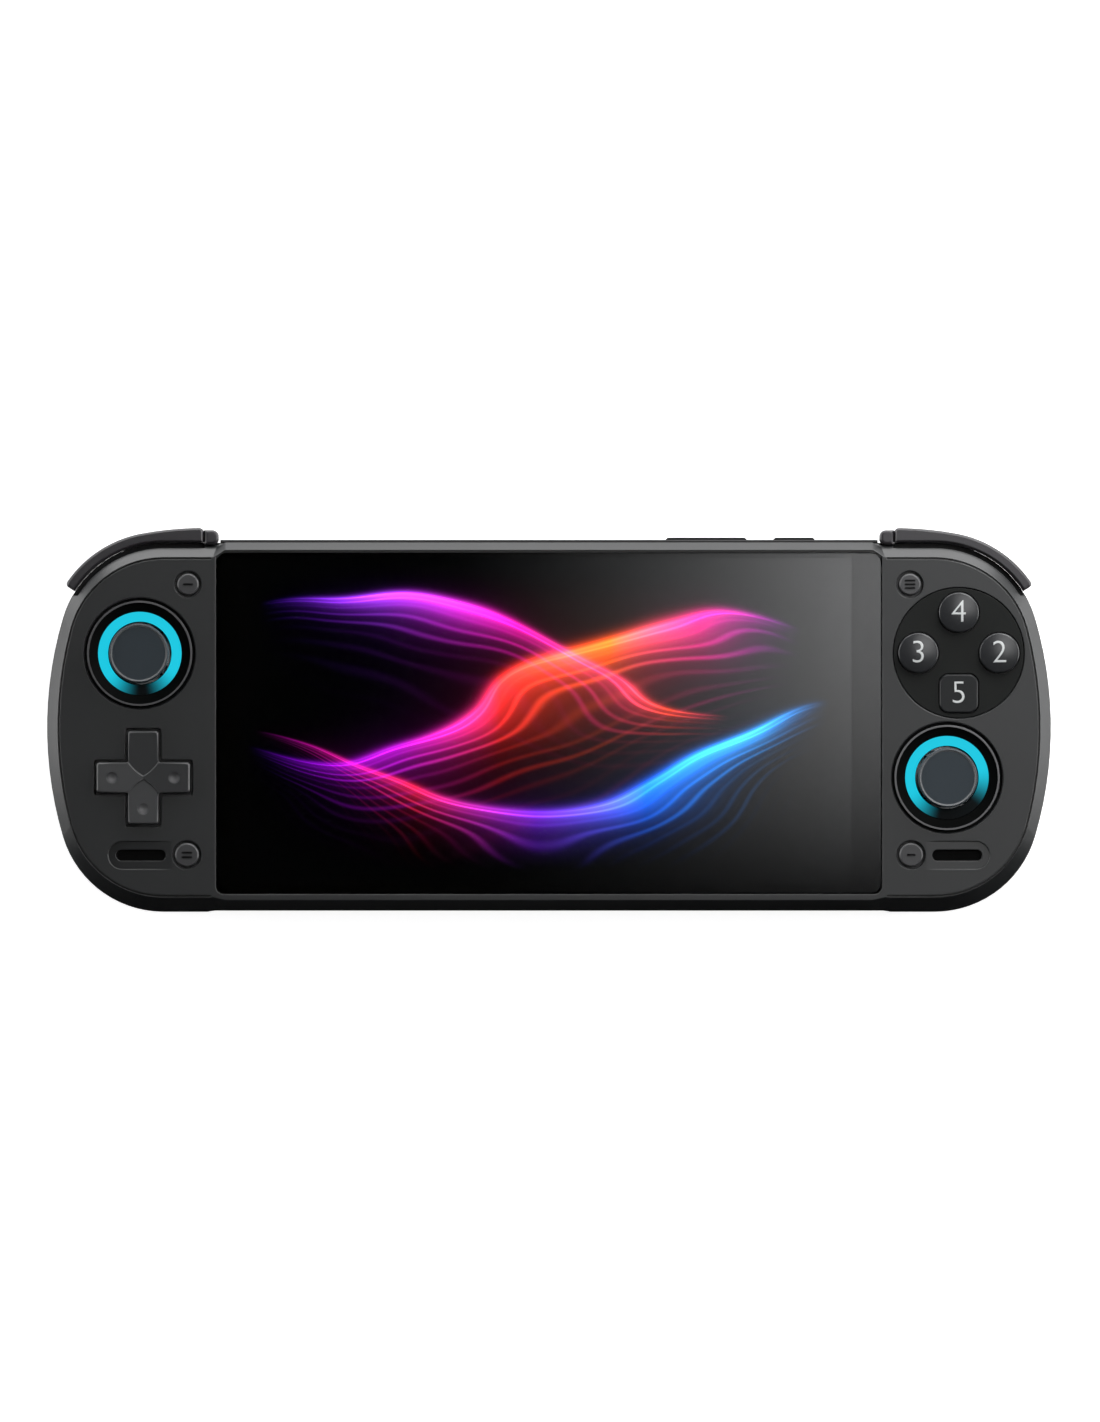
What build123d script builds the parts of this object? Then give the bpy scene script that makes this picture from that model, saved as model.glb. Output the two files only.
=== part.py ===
from build123d import *
from math import atan2, cos, pi, radians, sin, sqrt, tan
import os

# Handheld game console lying on its back: +X right, +Y top edge, +Z out of the screen.
# All sizes are in millimetres. The origin is under the middle of the outline, on the table.

# Housing outline, as a plate with bowed ends and round corners
half_length = 134.1
half_height = 49.3
side_radius = 103.0
corner_radius = 28.0
band_side = 3.1
band_long = 4.0
face_side_radius = 102.5
face_corner_radius = 25.6

# Housing section
front_z = 21.6
parting_z = 14.0
front_set_back = 0.3
band_drop = 3.0
grip_depth = 6.4
grip_root_in = 45.3
grip_slope = 15.0
grip_crest_radius = 16.0
grip_root_radius = 12.0
rim_radius = 7.0
wall = 2.2
overrun = 2.0
slip = 0.1
seat_gap = 0.2
top_rail_in = 46.3
top_rail_out = 0.8
top_rail_low = 9.4
top_rail_chamfer = 0.4
step_wide_in = 44.1
step_narrow_in = 47.9
step_rise = 2.0
step_band = 2.2
step_face_out = 1.8
low_step = 0.4
low_step_in = 44.9
low_step_ramp = 2.0
low_step_rise = 0.9
low_step_band = 2.6
low_face_out = 0.75
face_groove_in = 0.05
face_groove = 0.5
face_groove_depth = 0.9
hole_edge = 0.25

# Screen
control_width = 45.4
glass_top_in = 2.7
glass_low_in = 4.9
glass_thick = 1.0
glass_corner = 2.2
glass_cut_x = 2.4
glass_cut_y = 1.6
glass_blend = 0.6
glass_gap = 0.15
glass_top_gap = 0.6
glass_ledge = 1.2
panel_side_margin = 5.7
panel_long_margin = 1.3
panel_thick = 2.4

# Round face-button group
disc_in = 24.9
disc_y = 19.8
disc_radius = 17.4
disc_thick = 1.0
disc_gap = 0.15
button_pitch = 10.8
button_radius = 5.35
button_gap = 0.3
button_edge_rise = 1.5
button_blend = 0.5
button_rise = 2.0
flush_button_side = 10.2
flush_button_corner = 2.4
flush_button_rise = 0.5
flange_radius = 6.1
flange_thick = 1.0
membrane_radius = 15.0
membrane_thick = 0.8
dome_radius = 3.4
dome_top_radius = 2.2
dome_height = 2.6

# Direction pad
dpad_in = 26.0
dpad_y = 13.4
dpad_span = 24.8
dpad_arm = 8.0
dpad_gap = 0.8
dpad_corner = 0.8
dpad_inner_corner = 0.6
dpad_rise = 1.6
dpad_dish = 0.5
dpad_upright_dish = 0.75
dpad_tip_bulge = 0.3
dpad_tip_gap = 0.4
dpad_edge = 0.35
dpad_dimple_place = 8.2
dpad_dimple_radius = 1.5
dpad_dimple_depth = 0.4
dpad_flange_radius = 13.6
dpad_flange_top = 18.0
dpad_pivot_z = 15.6
dpad_post_radius = 1.6
dpad_rocker_radius = 2.0
dpad_ball_radius = 1.2

# Small round buttons, upper and lower pair
upper_button_in = 37.9
upper_button_drop = 11.2
upper_button_radius = 2.85
upper_hole_radius = 3.45
lower_button_in = 37.6
lower_button_drop = 15.3
lower_button_radius = 3.15
lower_hole_radius = 3.7
small_button_rise = 0.3
small_flange = 0.9

# Thumbsticks
left_stick_in = 25.0
left_stick_y = 19.7
right_stick_in = 28.0
right_stick_y = -13.4
stick_hole_radius = 14.8
bezel_radius = 14.0
bezel_flange = 1.9
bezel_rim = 0.6
bezel_top_drop = 0.4
bezel_floor_z = 18.3
bezel_floor_thick = 0.6
trim_height = 0.6
light_inner = 8.5
light_outer = 11.1
light_drop = 0.8
bezel_hole = 8.3
stick_pivot_z = 13.2
dust_dome_radius = 9.0
dust_dome_thick = 0.8
dust_dome_angle = 55.0
cap_radius = 7.9
cap_top_z = 28.2
cap_edge = 0.5
cap_edge_share = 0.3
cap_rim = 0.2
cap_dish = 0.2
cap_side = 1.6
cap_under = 1.9
cap_neck_radius = 3.3
cap_neck_z = 22.4
shaft_radius = 1.5
shaft_head_radius = 2.1
shaft_low_z = 10.6
shaft_slip = 0.06
cradle_half = 3.6
cradle_height = 2.0
frame_outer_half = 5.8
frame_inner_half = 4.3
frame_height = 2.0
trunnion_radius = 0.7
module_half = 8.5
module_wall = 1.5
module_low_z = 7.0
module_high_z = 14.9
module_floor = 1.2
module_post_radius = 3.5

# Speakers behind the pill-shaped slots
speaker_in = 25.3
speaker_drop = 15.2
slot_length = 13.4
slot_height = 3.0
slot_recess_height = 7.5
slot_recess_end_in = 16.6
slot_recess_start_in = 33.5
slot_recess_depth = 0.7
speaker_length = 15.0
speaker_height = 8.6
speaker_deep = 4.4
speaker_recess = 0.8

# Shoulder buttons on the top corners
shoulder_reach = 31.09
bumper_low_z = 13.5
bumper_high_z = 20.2
bumper_thick = 2.9
bumper_end_in = 41.9
bumper_end_out = 3.9
bumper_mid_in = 33.1
bumper_mid_out = 3.45
bumper_tip_angle = 32.5
bumper_bend_angle = 80.0
bumper_round = 1.1
bumper_notch = 1.5
bumper_notch_low = 13.1
bumper_notch_past = 1.2
bumper_liner = 2.2
bumper_pin_in = 40.2
bumper_pin_out = 1.4
bumper_pin_radius = 0.8
bumper_bore_slip = 0.08
block_inner_in = 45.9
block_outer_in = 42.2
block_low_in = 0.6
block_high_out = 3.3
block_round = 1.6
block_edge = 0.9
block_tab_low = 12.35
block_tab_reach = 3.6

# Analogue triggers behind them
trigger_inner_in = 40.8
trigger_outer_in = 20.4
trigger_out = 2.4
trigger_skin = 2.2
trigger_low_z = 2.6
trigger_high_z = 12.0
trigger_floor = 2.0
trigger_lip_in = 3.9
trigger_cheek = 1.8
trigger_round = 3.2
trigger_pivot_in = 5.1
trigger_pivot_z = 9.6
trigger_barrel = 2.1
trigger_pin_radius = 1.0
trigger_slip = 0.08
bay_side_gap = 0.5
bay_wall = 1.5
bay_depth = 8.6
bay_roof_z = 12.4

# Buttons on the top edge
edge_button_low = 10.4
edge_button_high = 12.8
edge_button_out = 1.4
edge_button_depth = 4.6
edge_button_seat_in = 3.5
edge_button_flange = 0.8
edge_button_ramp = 0.5
edge_button_slip = 0.2
volume_start_in = 102.9
volume_end_in = 81.3
power_start_in = 74.1
power_end_in = 63.1

# Electronics in the middle
board_low_z = 10.2
board_thick = 1.2
board_fan_gap = 12.0
board_right_in = 51.1
board_low_rise = 2.0
board_high_in = 5.7
board_leg_in = 104.1
board_leg_drop = 7.8
board_post_radius = 2.3
board_screw_radius = 0.9
board_screw_head = 1.9
board_screw_head_thick = 0.8
board_screw_length = 2.6
board_screw_inset = 4.0
chip_side = 24.0
chip_in = 42.0
chip_drop = 23.6
chip_thick = 1.6
memory_length = 14.0
memory_width = 10.0
memory_thick = 1.0
memory_gap = 4.0
battery_left_in = 56.1
battery_board_gap = 4.0
battery_low_in = 7.3
battery_fan_gap = 3.0
battery_high_z = 15.2
battery_round = 3.0
battery_seam = 1.2
control_board_low_z = 12.0
control_board_inset = 10.6
control_board_side_in = 10.1
left_strip_start_in = 39.2
left_strip_end_in = 34.3
right_strip_start_in = 41.9
right_strip_end_in = 36.9
control_board_end_in = 11.8
left_board_split_y = 8.6
right_board_split_y = 0.4

# Cooling
fan_left_in = 54.1
fan_length = 46.0
fan_height = 42.4
fan_high_in = 11.9
fan_low_z = 8.8
fan_high_z = 15.4
fan_wall = 1.0
fan_rotor_radius = 17.0
fan_rotor_gap = 1.4
fan_hub_radius = 7.0
fan_hub_wall = 1.2
fan_inlet_radius = 12.5
fan_pin_radius = 1.0
fan_pin_slip = 0.06
fan_end_gap = 0.4
fan_blade_thick = 0.6
fan_blade_sweep = 22.0
fan_blades = 13
fin_count = 16
fin_thick = 0.5
fin_depth = 5.8
fin_base = 0.7
sink_plate_thick = 1.4
sink_plate_margin = 2.0
pipe_width = 6.0
pipe_thick = 2.4
vent_width = 2.4
vent_pitch = 5.0
vent_count = 7
vent_lengths = 30.0
exhaust_count = 8
exhaust_width = 3.2
exhaust_low = 10.4
exhaust_high = 12.8

# Sockets on the bottom edge
usb_in = 60.1
usb_width = 8.94
usb_height = 3.26
usb_deep = 7.3
usb_shell = 0.3
usb_tongue = 0.7
usb_tongue_width = 6.7
usb_face_in = 0.6
jack_in = 82.1
jack_bore = 1.75
jack_length = 13.0
jack_width = 6.4
jack_height = 6.2
jack_nose_radius = 2.7
jack_face_in = 0.5
jack_nose = 2.6
card_in = 96.1
card_width = 12.6
card_length = 14.0
card_height = 1.6
card_slot_width = 11.2
card_slot_height = 0.8
card_face_in = 2.7

# Housing screws
screw_split_z = 12.0
screw_radius = 1.0
screw_slip = 0.05
screw_head_radius = 2.1
screw_head_thick = 1.6
screw_grip = 4.0
screw_socket_radius = 0.9
screw_socket_depth = 0.8
counterbore_gap = 0.3
boss_radius = 2.4
boss_foot_radius = 3.3
boss_foot_above = 1.2
screw_side = (6.6, 47.3, 3.0)
screw_corner = (19.1, -8.3, 3.2)
screw_low = (42.1, -6.7, 8.6)
screw_high = (42.2, 19.3, 8.4)

# Vibration motors
motor_in = 18.1
motor_y = -6.0
motor_radius = 5.0
motor_thick = 3.2

# Values that follow from those above
corner_y = half_height - corner_radius
corner_x = half_length - side_radius + sqrt((side_radius - corner_radius) ** 2 - corner_y ** 2)
shoulder_x = corner_x + shoulder_reach
face_half_length = half_length - band_side
face_half_height = half_height - band_long
grip_root_x = half_length - grip_root_in
top_rail_x = shoulder_x - top_rail_in
top_rail_y = half_height + top_rail_out
step_wide_x = shoulder_x - step_wide_in
step_narrow_x = shoulder_x - step_narrow_in
disc_x = half_length - disc_in
dpad_x = half_length - dpad_in
upper_button_x = half_length - upper_button_in
upper_button_y = half_height - upper_button_drop
lower_button_x = half_length - lower_button_in
lower_button_y = half_height - lower_button_drop
left_stick_x = left_stick_in - half_length
right_stick_x = half_length - right_stick_in
speaker_x = half_length - speaker_in
speaker_y = half_height - speaker_drop
slot_recess_end = half_length - slot_recess_end_in
slot_recess_start = half_length - slot_recess_start_in
bumper_end_x = shoulder_x - bumper_end_in
bumper_end_y = half_height + bumper_end_out
bumper_mid_x = shoulder_x - bumper_mid_in
bumper_mid_y = half_height + bumper_mid_out
bumper_pin_x = shoulder_x - bumper_pin_in
bumper_pin_y = half_height + bumper_pin_out
block_inner_x = shoulder_x - block_inner_in
block_outer_x = shoulder_x - block_outer_in
block_low_y = half_height - block_low_in
block_high_y = half_height + block_high_out
trigger_inner_x = half_length - trigger_inner_in
trigger_outer_x = half_length - trigger_outer_in
trigger_lip_y = half_height - trigger_lip_in
trigger_pivot_y = half_height - trigger_pivot_in
edge_button_y = half_height + edge_button_out
edge_button_seat_y = half_height - edge_button_seat_in
volume_start_x = half_length - volume_start_in
volume_end_x = half_length - volume_end_in
power_start_x = half_length - power_start_in
power_end_x = half_length - power_end_in
glass_length = (half_length - control_width) * 2
glass_height = half_height * 2 - glass_top_in - glass_low_in
glass_y = (glass_low_in - glass_top_in) / 2
panel_length = glass_length - panel_side_margin * 2
panel_height = glass_height - panel_long_margin * 2
fan_left_x = fan_left_in - half_length
fan_right_x = fan_left_x + fan_length
fan_high_y = half_height - fan_high_in
fan_low_y = fan_high_y - fan_height
board_left_x = fan_right_x + board_fan_gap
board_right_x = half_length - board_right_in
board_low_y = fan_low_y + board_low_rise
board_high_y = half_height - board_high_in
board_leg_x = half_length - board_leg_in
board_leg_y = board_leg_drop - half_height
chip_x = board_left_x + chip_in
chip_y = board_high_y - chip_drop
battery_left_x = battery_left_in - half_length
battery_right_x = board_leg_x - battery_board_gap
battery_low_y = battery_low_in - half_height
battery_high_y = fan_low_y - battery_fan_gap
control_board_side = half_length - control_board_side_in
left_strip_start = half_length - left_strip_start_in
left_strip_end = half_length - left_strip_end_in
right_strip_start = half_length - right_strip_start_in
right_strip_end = half_length - right_strip_end_in
control_board_end_y = half_height - control_board_end_in
usb_x = half_length - usb_in
jack_x = half_length - jack_in
card_x = half_length - card_in
usb_face_y = half_height - usb_face_in
jack_face_y = half_height - jack_face_in
card_face_y = half_height - card_face_in
motor_x = half_length - motor_in
low_step_x = half_length - low_step_in
middle_y = (bumper_end_y - half_height) / 2
inner_front_z = front_z - wall
flange_high_z = inner_front_z - seat_gap - slip
flange_low_z = flange_high_z - flange_thick
control_board_z = control_board_low_z + board_thick
board_high_z = board_low_z + board_thick
glass_z = front_z - glass_thick
grip_angle = atan2(grip_depth, grip_slope)
button_share = {"top": (0, 1), "left": (-1, 0), "right": (1, 0), "bottom": (0, -1)}


def save(shape, name):
    """Write one piece, moved so that the origin lies under the middle of the outline."""
    os.makedirs("parts", exist_ok=True)
    export_step(Pos(0, -middle_y, 0) * shape, "parts/" + name + ".step")


def plate(length, height, radius, corner):
    """A flat plate outline with bowed ends and round corners."""
    x = length - radius + sqrt(radius ** 2 - height ** 2)
    outline = make_face([
        Line((-x, height), (x, height)),
        ThreePointArc((x, height), (length, 0), (x, -height)),
        Line((x, -height), (-x, -height)),
        ThreePointArc((-x, -height), (-length, 0), (-x, height)),
    ])
    return fillet(outline.vertices(), corner)


def body_plan(inset=0.0):
    return plate(half_length - inset, half_height - inset, side_radius - inset, corner_radius - inset)


def face_plan(inset=0.0):
    return plate(face_half_length - inset, face_half_height - inset,
                 face_side_radius - inset, face_corner_radius - inset)


def prism(face, low, high):
    return Pos(0, 0, low) * extrude(face, amount=high - low, dir=(0, 0, 1))


def brick(x_low, x_high, y_low, y_high, low, high):
    size = (abs(x_high - x_low), abs(y_high - y_low), high - low)
    place = ((x_low + x_high) / 2, (y_low + y_high) / 2, (low + high) / 2)
    return Pos(*place) * Box(*size)


def rod(x, y, radius, low, high):
    return Pos(x, y, (low + high) / 2) * Cylinder(radius, high - low)


def ring(x, y, outer, inner, low, high):
    return rod(x, y, outer, low, high) - rod(x, y, inner, low - overrun, high + overrun)


def rod_along_x(y, z, radius, x_low, x_high):
    return Pos((x_low + x_high) / 2, y, z) * Rot(0, 90, 0) * Cylinder(radius, x_high - x_low)


def rod_along_y(x, z, radius, y_low, y_high):
    return Pos(x, (y_low + y_high) / 2, z) * Rot(90, 0, 0) * Cylinder(radius, y_high - y_low)


def rounded(x, y, length, height, corner, low, high):
    return Pos(x, y, 0) * prism(RectangleRounded(length, height, corner), low, high)


def pill(x, y, length, height, low, high):
    return Pos(x, y, 0) * prism(SlotOverall(length, height), low, high)


def turned(points, x, y):
    """Turn an outline of radius and height pairs round the vertical line through x, y."""
    outline = Polyline(*points, close=True)
    profile = make_face(Plane.XZ * outline)
    return Pos(x, y, 0) * revolve(profile, Axis.Z)


def both(shape):
    return shape + mirror(shape, about=Plane.YZ)


def rear_form(inset):
    """The rear half as one solid: a shallow middle, two deeper grips and a rolled rim."""
    shift = inset * tan(grip_angle / 2)
    crest_x = grip_root_x + grip_slope + shift
    root_x = grip_root_x + shift
    end_x = half_length + overrun
    top = parting_z + rim_radius
    side = Polyline((-end_x, top), (-end_x, inset), (-crest_x, inset), (-root_x, grip_depth + inset),
                    (root_x, grip_depth + inset), (crest_x, inset), (end_x, inset), (end_x, top),
                    (-end_x, top))
    profile = make_face(side)
    crests = [v for v in profile.vertices() if abs(abs(v.X) - crest_x) < slip]
    profile = fillet(crests, grip_crest_radius - inset)
    roots = [v for v in profile.vertices() if abs(abs(v.X) - root_x) < slip and v.Y < parting_z]
    profile = fillet(roots, grip_root_radius + inset)
    form = extrude(Plane.XZ * profile, amount=half_height + overrun, both=True)
    high = parting_z + (overrun if inset else 0)
    form = form & prism(body_plan(inset), -overrun, high)
    walls = form.edges().filter_by(Axis.Z, reverse=True).filter_by(Axis.Y, reverse=True)
    rim = walls.filter_by_position(Axis.Z, -overrun, parting_z - wall)
    return fillet(rim, rim_radius - inset)


def corner_zone(shape, reach_x, reach_y):
    """The part of a shape that lies in both top corners."""
    zone = brick(reach_x, half_length + overrun, reach_y, bumper_end_y + overrun, 0, cap_top_z)
    return shape & both(zone)


def bumper_notch_cut():
    """Space cleared from the top corners for the shoulder buttons and their travel."""
    tip = radians(bumper_tip_angle)
    reach_y = corner_y + corner_radius * sin(tip) - bumper_notch_past
    outside = prism(body_plan(-overrun * 2), bumper_notch_low, front_z + overrun)
    outside -= prism(body_plan(bumper_notch), parting_z - wall, front_z + overrun * 2)
    block = brick(block_inner_x - slip, block_outer_x, block_low_y - slip, block_high_y + overrun,
                  bumper_notch_low, front_z + overrun)
    return corner_zone(outside, block_outer_x - slip, reach_y) + both(block)


def bumper_liner_wall(low, high):
    """The wall that closes the housing behind the shoulder buttons."""
    outer = prism(body_plan(bumper_notch), low, high)
    inner = prism(body_plan(bumper_notch + bumper_liner), low - overrun, high + overrun)
    return corner_zone(outer - inner, grip_root_x - bumper_liner, corner_y)


def trigger_bay(grow):
    """The open bay of a trigger, or its walls when grown."""
    deep = prism(body_plan(-overrun * 2), -overrun, bay_roof_z + grow)
    deep -= prism(body_plan(bay_depth + grow), -overrun * 2, bay_roof_z + overrun * 2)
    inner_x = trigger_inner_x - bay_side_gap - grow
    outer_x = trigger_outer_x + bay_side_gap + grow
    zone = brick(inner_x, outer_x, 0, bumper_end_y + overrun, -overrun * 2, parting_z)
    return deep & zone


def screw_places():
    """Housing screws, each set in from one end and from the top or, if negative, the bottom edge."""
    for inset_x, inset_y, seat in (screw_side, screw_corner, screw_low, screw_high):
        y = half_height - inset_y if inset_y > 0 else -half_height - inset_y
        for side in (-1, 1):
            yield side * (half_length - inset_x), y, seat


def edge_slots():
    """Openings in the top edge for the volume rocker and the power button."""
    cut = None
    for start, end in ((volume_start_x, volume_end_x), (power_start_x, power_end_x)):
        hole = brick(start - edge_button_slip, end + edge_button_slip, half_height - edge_button_depth,
                     top_rail_y + overrun, edge_button_low - edge_button_slip,
                     edge_button_high + edge_button_slip)
        cut = hole if cut is None else cut + hole
    return cut


def socket_holes():
    """Openings in the bottom edge for the two sockets and the card."""
    usb_z = board_high_z + usb_height / 2
    usb = Pos(usb_x, -half_height, usb_z) * Rot(90, 0, 0) * extrude(
        SlotOverall(usb_width + slip * 2, usb_height + slip * 2), amount=wall + overrun, both=True)
    jack_z = board_high_z + jack_height / 2
    jack = rod_along_y(jack_x, jack_z, jack_nose_radius + slip,
                       -half_height - overrun, -half_height + wall + overrun)
    card_z = board_high_z + card_height / 2
    card = brick(card_x - card_slot_width / 2, card_x + card_slot_width / 2, -half_height - overrun,
                 -half_height + wall + overrun, card_z - card_slot_height, card_z + card_slot_height)
    return usb + jack + card


def edge_step(edge, face_edge, rise, drop):
    """Middle stretch of a long edge, where the face reaches further out than on the grips."""
    outlines = []
    for y, z in ((edge, front_z - drop), (face_edge, front_z)):
        line = Polyline((-step_wide_x, 0), (-step_wide_x, y - rise), (-step_narrow_x, y),
                        (step_narrow_x, y), (step_wide_x, y - rise), (step_wide_x, 0), close=True)
        outlines.append(Pos(0, 0, z) * make_face(line))
    base = extrude(outlines[0], amount=front_z - drop - parting_z, dir=(0, 0, -1))
    return loft(outlines, ruled=True) + base


def low_edge_cut():
    """The bottom edge lies a little further in between the grips."""
    start = low_step_x + low_step_ramp
    outside = half_height + overrun
    line = Polyline((-start, -outside), (-start, -half_height), (-low_step_x, low_step - half_height),
                    (low_step_x, low_step - half_height), (start, -half_height), (start, -outside),
                    close=True)
    return prism(make_face(line), -overrun, front_z + overrun)


def glass_plan(grow=0.0, grow_top=0.0):
    """Outline of the glass: its upper corners are cut off and its lower corners are round."""
    x = glass_length / 2 + grow
    top = glass_y + glass_height / 2 + grow_top
    low = glass_y - glass_height / 2 - grow
    line = Polyline((-x, low), (x, low), (x, top - glass_cut_y), (x - glass_cut_x, top),
                    (glass_cut_x - x, top), (-x, top - glass_cut_y), close=True)
    outline = make_face(line)
    outline = fillet(outline.vertices().sort_by(Axis.Y)[:2], glass_corner)
    upper = [v for v in outline.vertices() if v.Y > top - glass_cut_y - slip]
    return fillet(upper, glass_blend)


def edge_cone(x, y, radius):
    """Small chamfer round an opening in the face."""
    return Pos(x, y, front_z - hole_edge / 2) * Cone(radius - slip, radius + hole_edge + slip,
                                                     hole_edge + slip * 2)


def make_front_shell():
    """Front housing: bevelled band, flat face, screen opening and all control openings."""
    band_z = front_z - band_drop
    shell = prism(body_plan(front_set_back), parting_z, band_z)
    band = loft([Pos(0, 0, band_z) * body_plan(front_set_back), Pos(0, 0, front_z) * face_plan()],
                ruled=True)
    shell = shell + band + edge_step(half_height, face_half_height + step_face_out, step_rise, step_band)
    shell += mirror(edge_step(half_height - low_step, face_half_height + low_face_out, low_step_rise,
                              low_step_band), about=Plane.XZ)
    shell -= prism(body_plan(wall), parting_z - overrun, inner_front_z)
    shell += bumper_liner_wall(parting_z, inner_front_z + slip)
    shell -= bumper_notch_cut()

    # Screen opening with a ledge for the glass
    shell -= prism(glass_plan(glass_gap, glass_top_gap), glass_z, front_z + overrun)
    shell -= rounded(0, glass_y, glass_length - glass_ledge * 2, glass_height - glass_ledge * 2,
                     glass_corner, parting_z, front_z)

    # Fine groove between face and band on both ends
    groove = prism(face_plan(face_groove_in), front_z - face_groove_depth, front_z + overrun)
    groove -= prism(face_plan(face_groove_in + face_groove), parting_z, front_z + overrun * 2)
    shell -= groove & both(brick(step_wide_x, half_length, -half_height, half_height, parting_z,
                                 front_z + overrun))

    # Openings for the controls
    for x, y in ((left_stick_x, left_stick_y), (right_stick_x, right_stick_y)):
        shell -= rod(x, y, stick_hole_radius, parting_z, front_z + overrun)
        shell -= edge_cone(x, y, stick_hole_radius)
    shell -= rod(disc_x, disc_y, disc_radius, front_z - disc_thick, front_z + overrun)
    shell -= edge_cone(disc_x, disc_y, disc_radius)
    shell -= face_button_holes()
    shell -= Pos(-dpad_x, -dpad_y, 0) * prism(cross_outline(dpad_gap), parting_z, front_z + overrun)
    for side in (-1, 1):
        shell -= rod(side * upper_button_x, upper_button_y, upper_hole_radius, parting_z,
                     front_z + overrun)
        shell -= rod(side * lower_button_x, -lower_button_y, lower_hole_radius, parting_z,
                     front_z + overrun)
        shell -= edge_cone(side * upper_button_x, upper_button_y, upper_hole_radius)
        shell -= edge_cone(side * lower_button_x, -lower_button_y, lower_hole_radius)
        shell -= speaker_opening(side)

    # Bosses that take the housing screws
    for x, y, seat in screw_places():
        shell += rod(x, y, boss_radius, screw_split_z + slip / 2, inner_front_z + slip)
        shell -= rod(x, y, screw_radius + screw_slip, screw_split_z - slip, screw_split_z + screw_grip)
    return shell - low_edge_cut() - socket_holes()


def face_button_holes():
    """Openings for the four face buttons, through the disc and the housing."""
    low, high = parting_z, front_z + overrun
    cut = None
    for name, (share_x, share_y) in button_share.items():
        x = disc_x + share_x * button_pitch
        y = disc_y + share_y * button_pitch
        if name == "bottom":
            side = flush_button_side + button_gap * 2
            hole = rounded(x, y, side, side, flush_button_corner + button_gap, low, high)
        else:
            hole = rod(x, y, button_radius + button_gap, low, high)
        cut = hole if cut is None else cut + hole
    return cut


def cross_outline(grow=0.0):
    """The plus-shaped outline of the direction pad."""
    span = dpad_span + grow * 2
    arm = dpad_arm + grow * 2
    cross = Rectangle(span, arm) + Rectangle(arm, span)
    inner = [v for v in cross.vertices() if max(abs(v.X), abs(v.Y)) < span / 2 - slip]
    cross = fillet(inner, dpad_inner_corner)
    ends = [v for v in cross.vertices() if max(abs(v.X), abs(v.Y)) > span / 2 - slip]
    return fillet(ends, dpad_corner)


def speaker_opening(side):
    """Pill-shaped slot in a shallow recess that fades towards the small button."""
    slot = pill(side * speaker_x, -speaker_y, slot_length, slot_height, parting_z, front_z + overrun)
    length = slot_recess_end - slot_recess_start + slot_recess_height
    middle = side * (slot_recess_end - length / 2)
    recess = pill(middle, -speaker_y, length, slot_recess_height, parting_z, front_z + overrun)
    ramp = Polyline((side * slot_recess_start, front_z), (side * (slot_recess_end + overrun), front_z),
                    (side * (slot_recess_end + overrun), front_z - slot_recess_depth), close=True)
    wedge = Pos(0, -speaker_y, 0) * extrude(Plane.XZ * make_face(ramp), amount=slot_recess_height,
                                            both=True)
    return slot + (recess & wedge)


def make_rear_shell():
    """Rear housing: rolled rim, two grips, trigger bays, vents, bosses and posts."""
    outer = rear_form(0)
    rail = brick(-top_rail_x, top_rail_x, half_height - wall, top_rail_y, top_rail_low, parting_z)
    rail = chamfer(rail.edges().filter_by(Axis.X).sort_by(Axis.Y)[-2:], top_rail_chamfer)
    shell = outer - rear_form(wall) + rail
    shell += both(trigger_bay(bay_wall)) & outer
    shell += bumper_liner_wall(bumper_notch_low - wall, parting_z)
    shell -= both(trigger_bay(0))
    shell -= bumper_notch_cut()
    shell -= both(rod_along_x(trigger_pivot_y, trigger_pivot_z, trigger_pin_radius + screw_slip,
                              trigger_inner_x - bay_side_gap - bay_wall - overrun,
                              trigger_outer_x + bay_side_gap + bay_wall - slip))

    # Bosses and counterbores of the housing screws
    for x, y, seat in screw_places():
        post = rod(x, y, boss_radius, 0, screw_split_z)
        foot = rod(x, y, boss_foot_radius, 0, seat + boss_foot_above)
        shell += (post + foot) & (outer + rod(x, y, boss_radius, parting_z - wall, parting_z))
        shell -= rod(x, y, screw_head_radius + counterbore_gap, -overrun, seat)
        shell -= rod(x, y, screw_radius + screw_slip, 0, screw_split_z + slip)

    # Posts under the stick modules and the main board
    for x, y in ((left_stick_x, left_stick_y), (right_stick_x, right_stick_y)):
        shell += rod(x, y, module_post_radius, wall / 2, module_low_z)
    for x, y in board_screw_places():
        shell += rod(x, y, board_post_radius, grip_depth + wall / 2, board_low_z)
        shell -= rod(x, y, board_screw_radius + screw_slip, board_high_z - board_screw_length,
                     board_low_z + slip)

    # Air inlet under the fan and exhaust in the top edge
    fan_x = (fan_left_x + fan_right_x) / 2
    fan_y = (fan_low_y + fan_high_y) / 2
    for index in range(vent_count):
        place = fan_x + (index - (vent_count - 1) / 2) * vent_pitch
        shell -= Pos(place, fan_y, 0) * prism(
            Rot(0, 0, 90) * SlotOverall(vent_lengths, vent_width), 0, grip_depth + wall + slip)
    exhaust_pitch = (fan_right_x - fan_left_x - exhaust_width) / exhaust_count
    for index in range(exhaust_count):
        start = fan_left_x + exhaust_width + index * exhaust_pitch
        shell -= brick(start, start + exhaust_width, half_height - wall - overrun, top_rail_y + overrun,
                       exhaust_low, exhaust_high)
    return shell - edge_slots() - low_edge_cut() - socket_holes()


def board_screw_places():
    left = board_left_x + board_screw_inset
    right = board_right_x - board_screw_inset
    top = board_high_y - board_screw_inset
    return ((left, top), (right, top), (left, board_low_y + board_screw_inset),
            (right, board_leg_y + board_screw_inset * 2))


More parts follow.
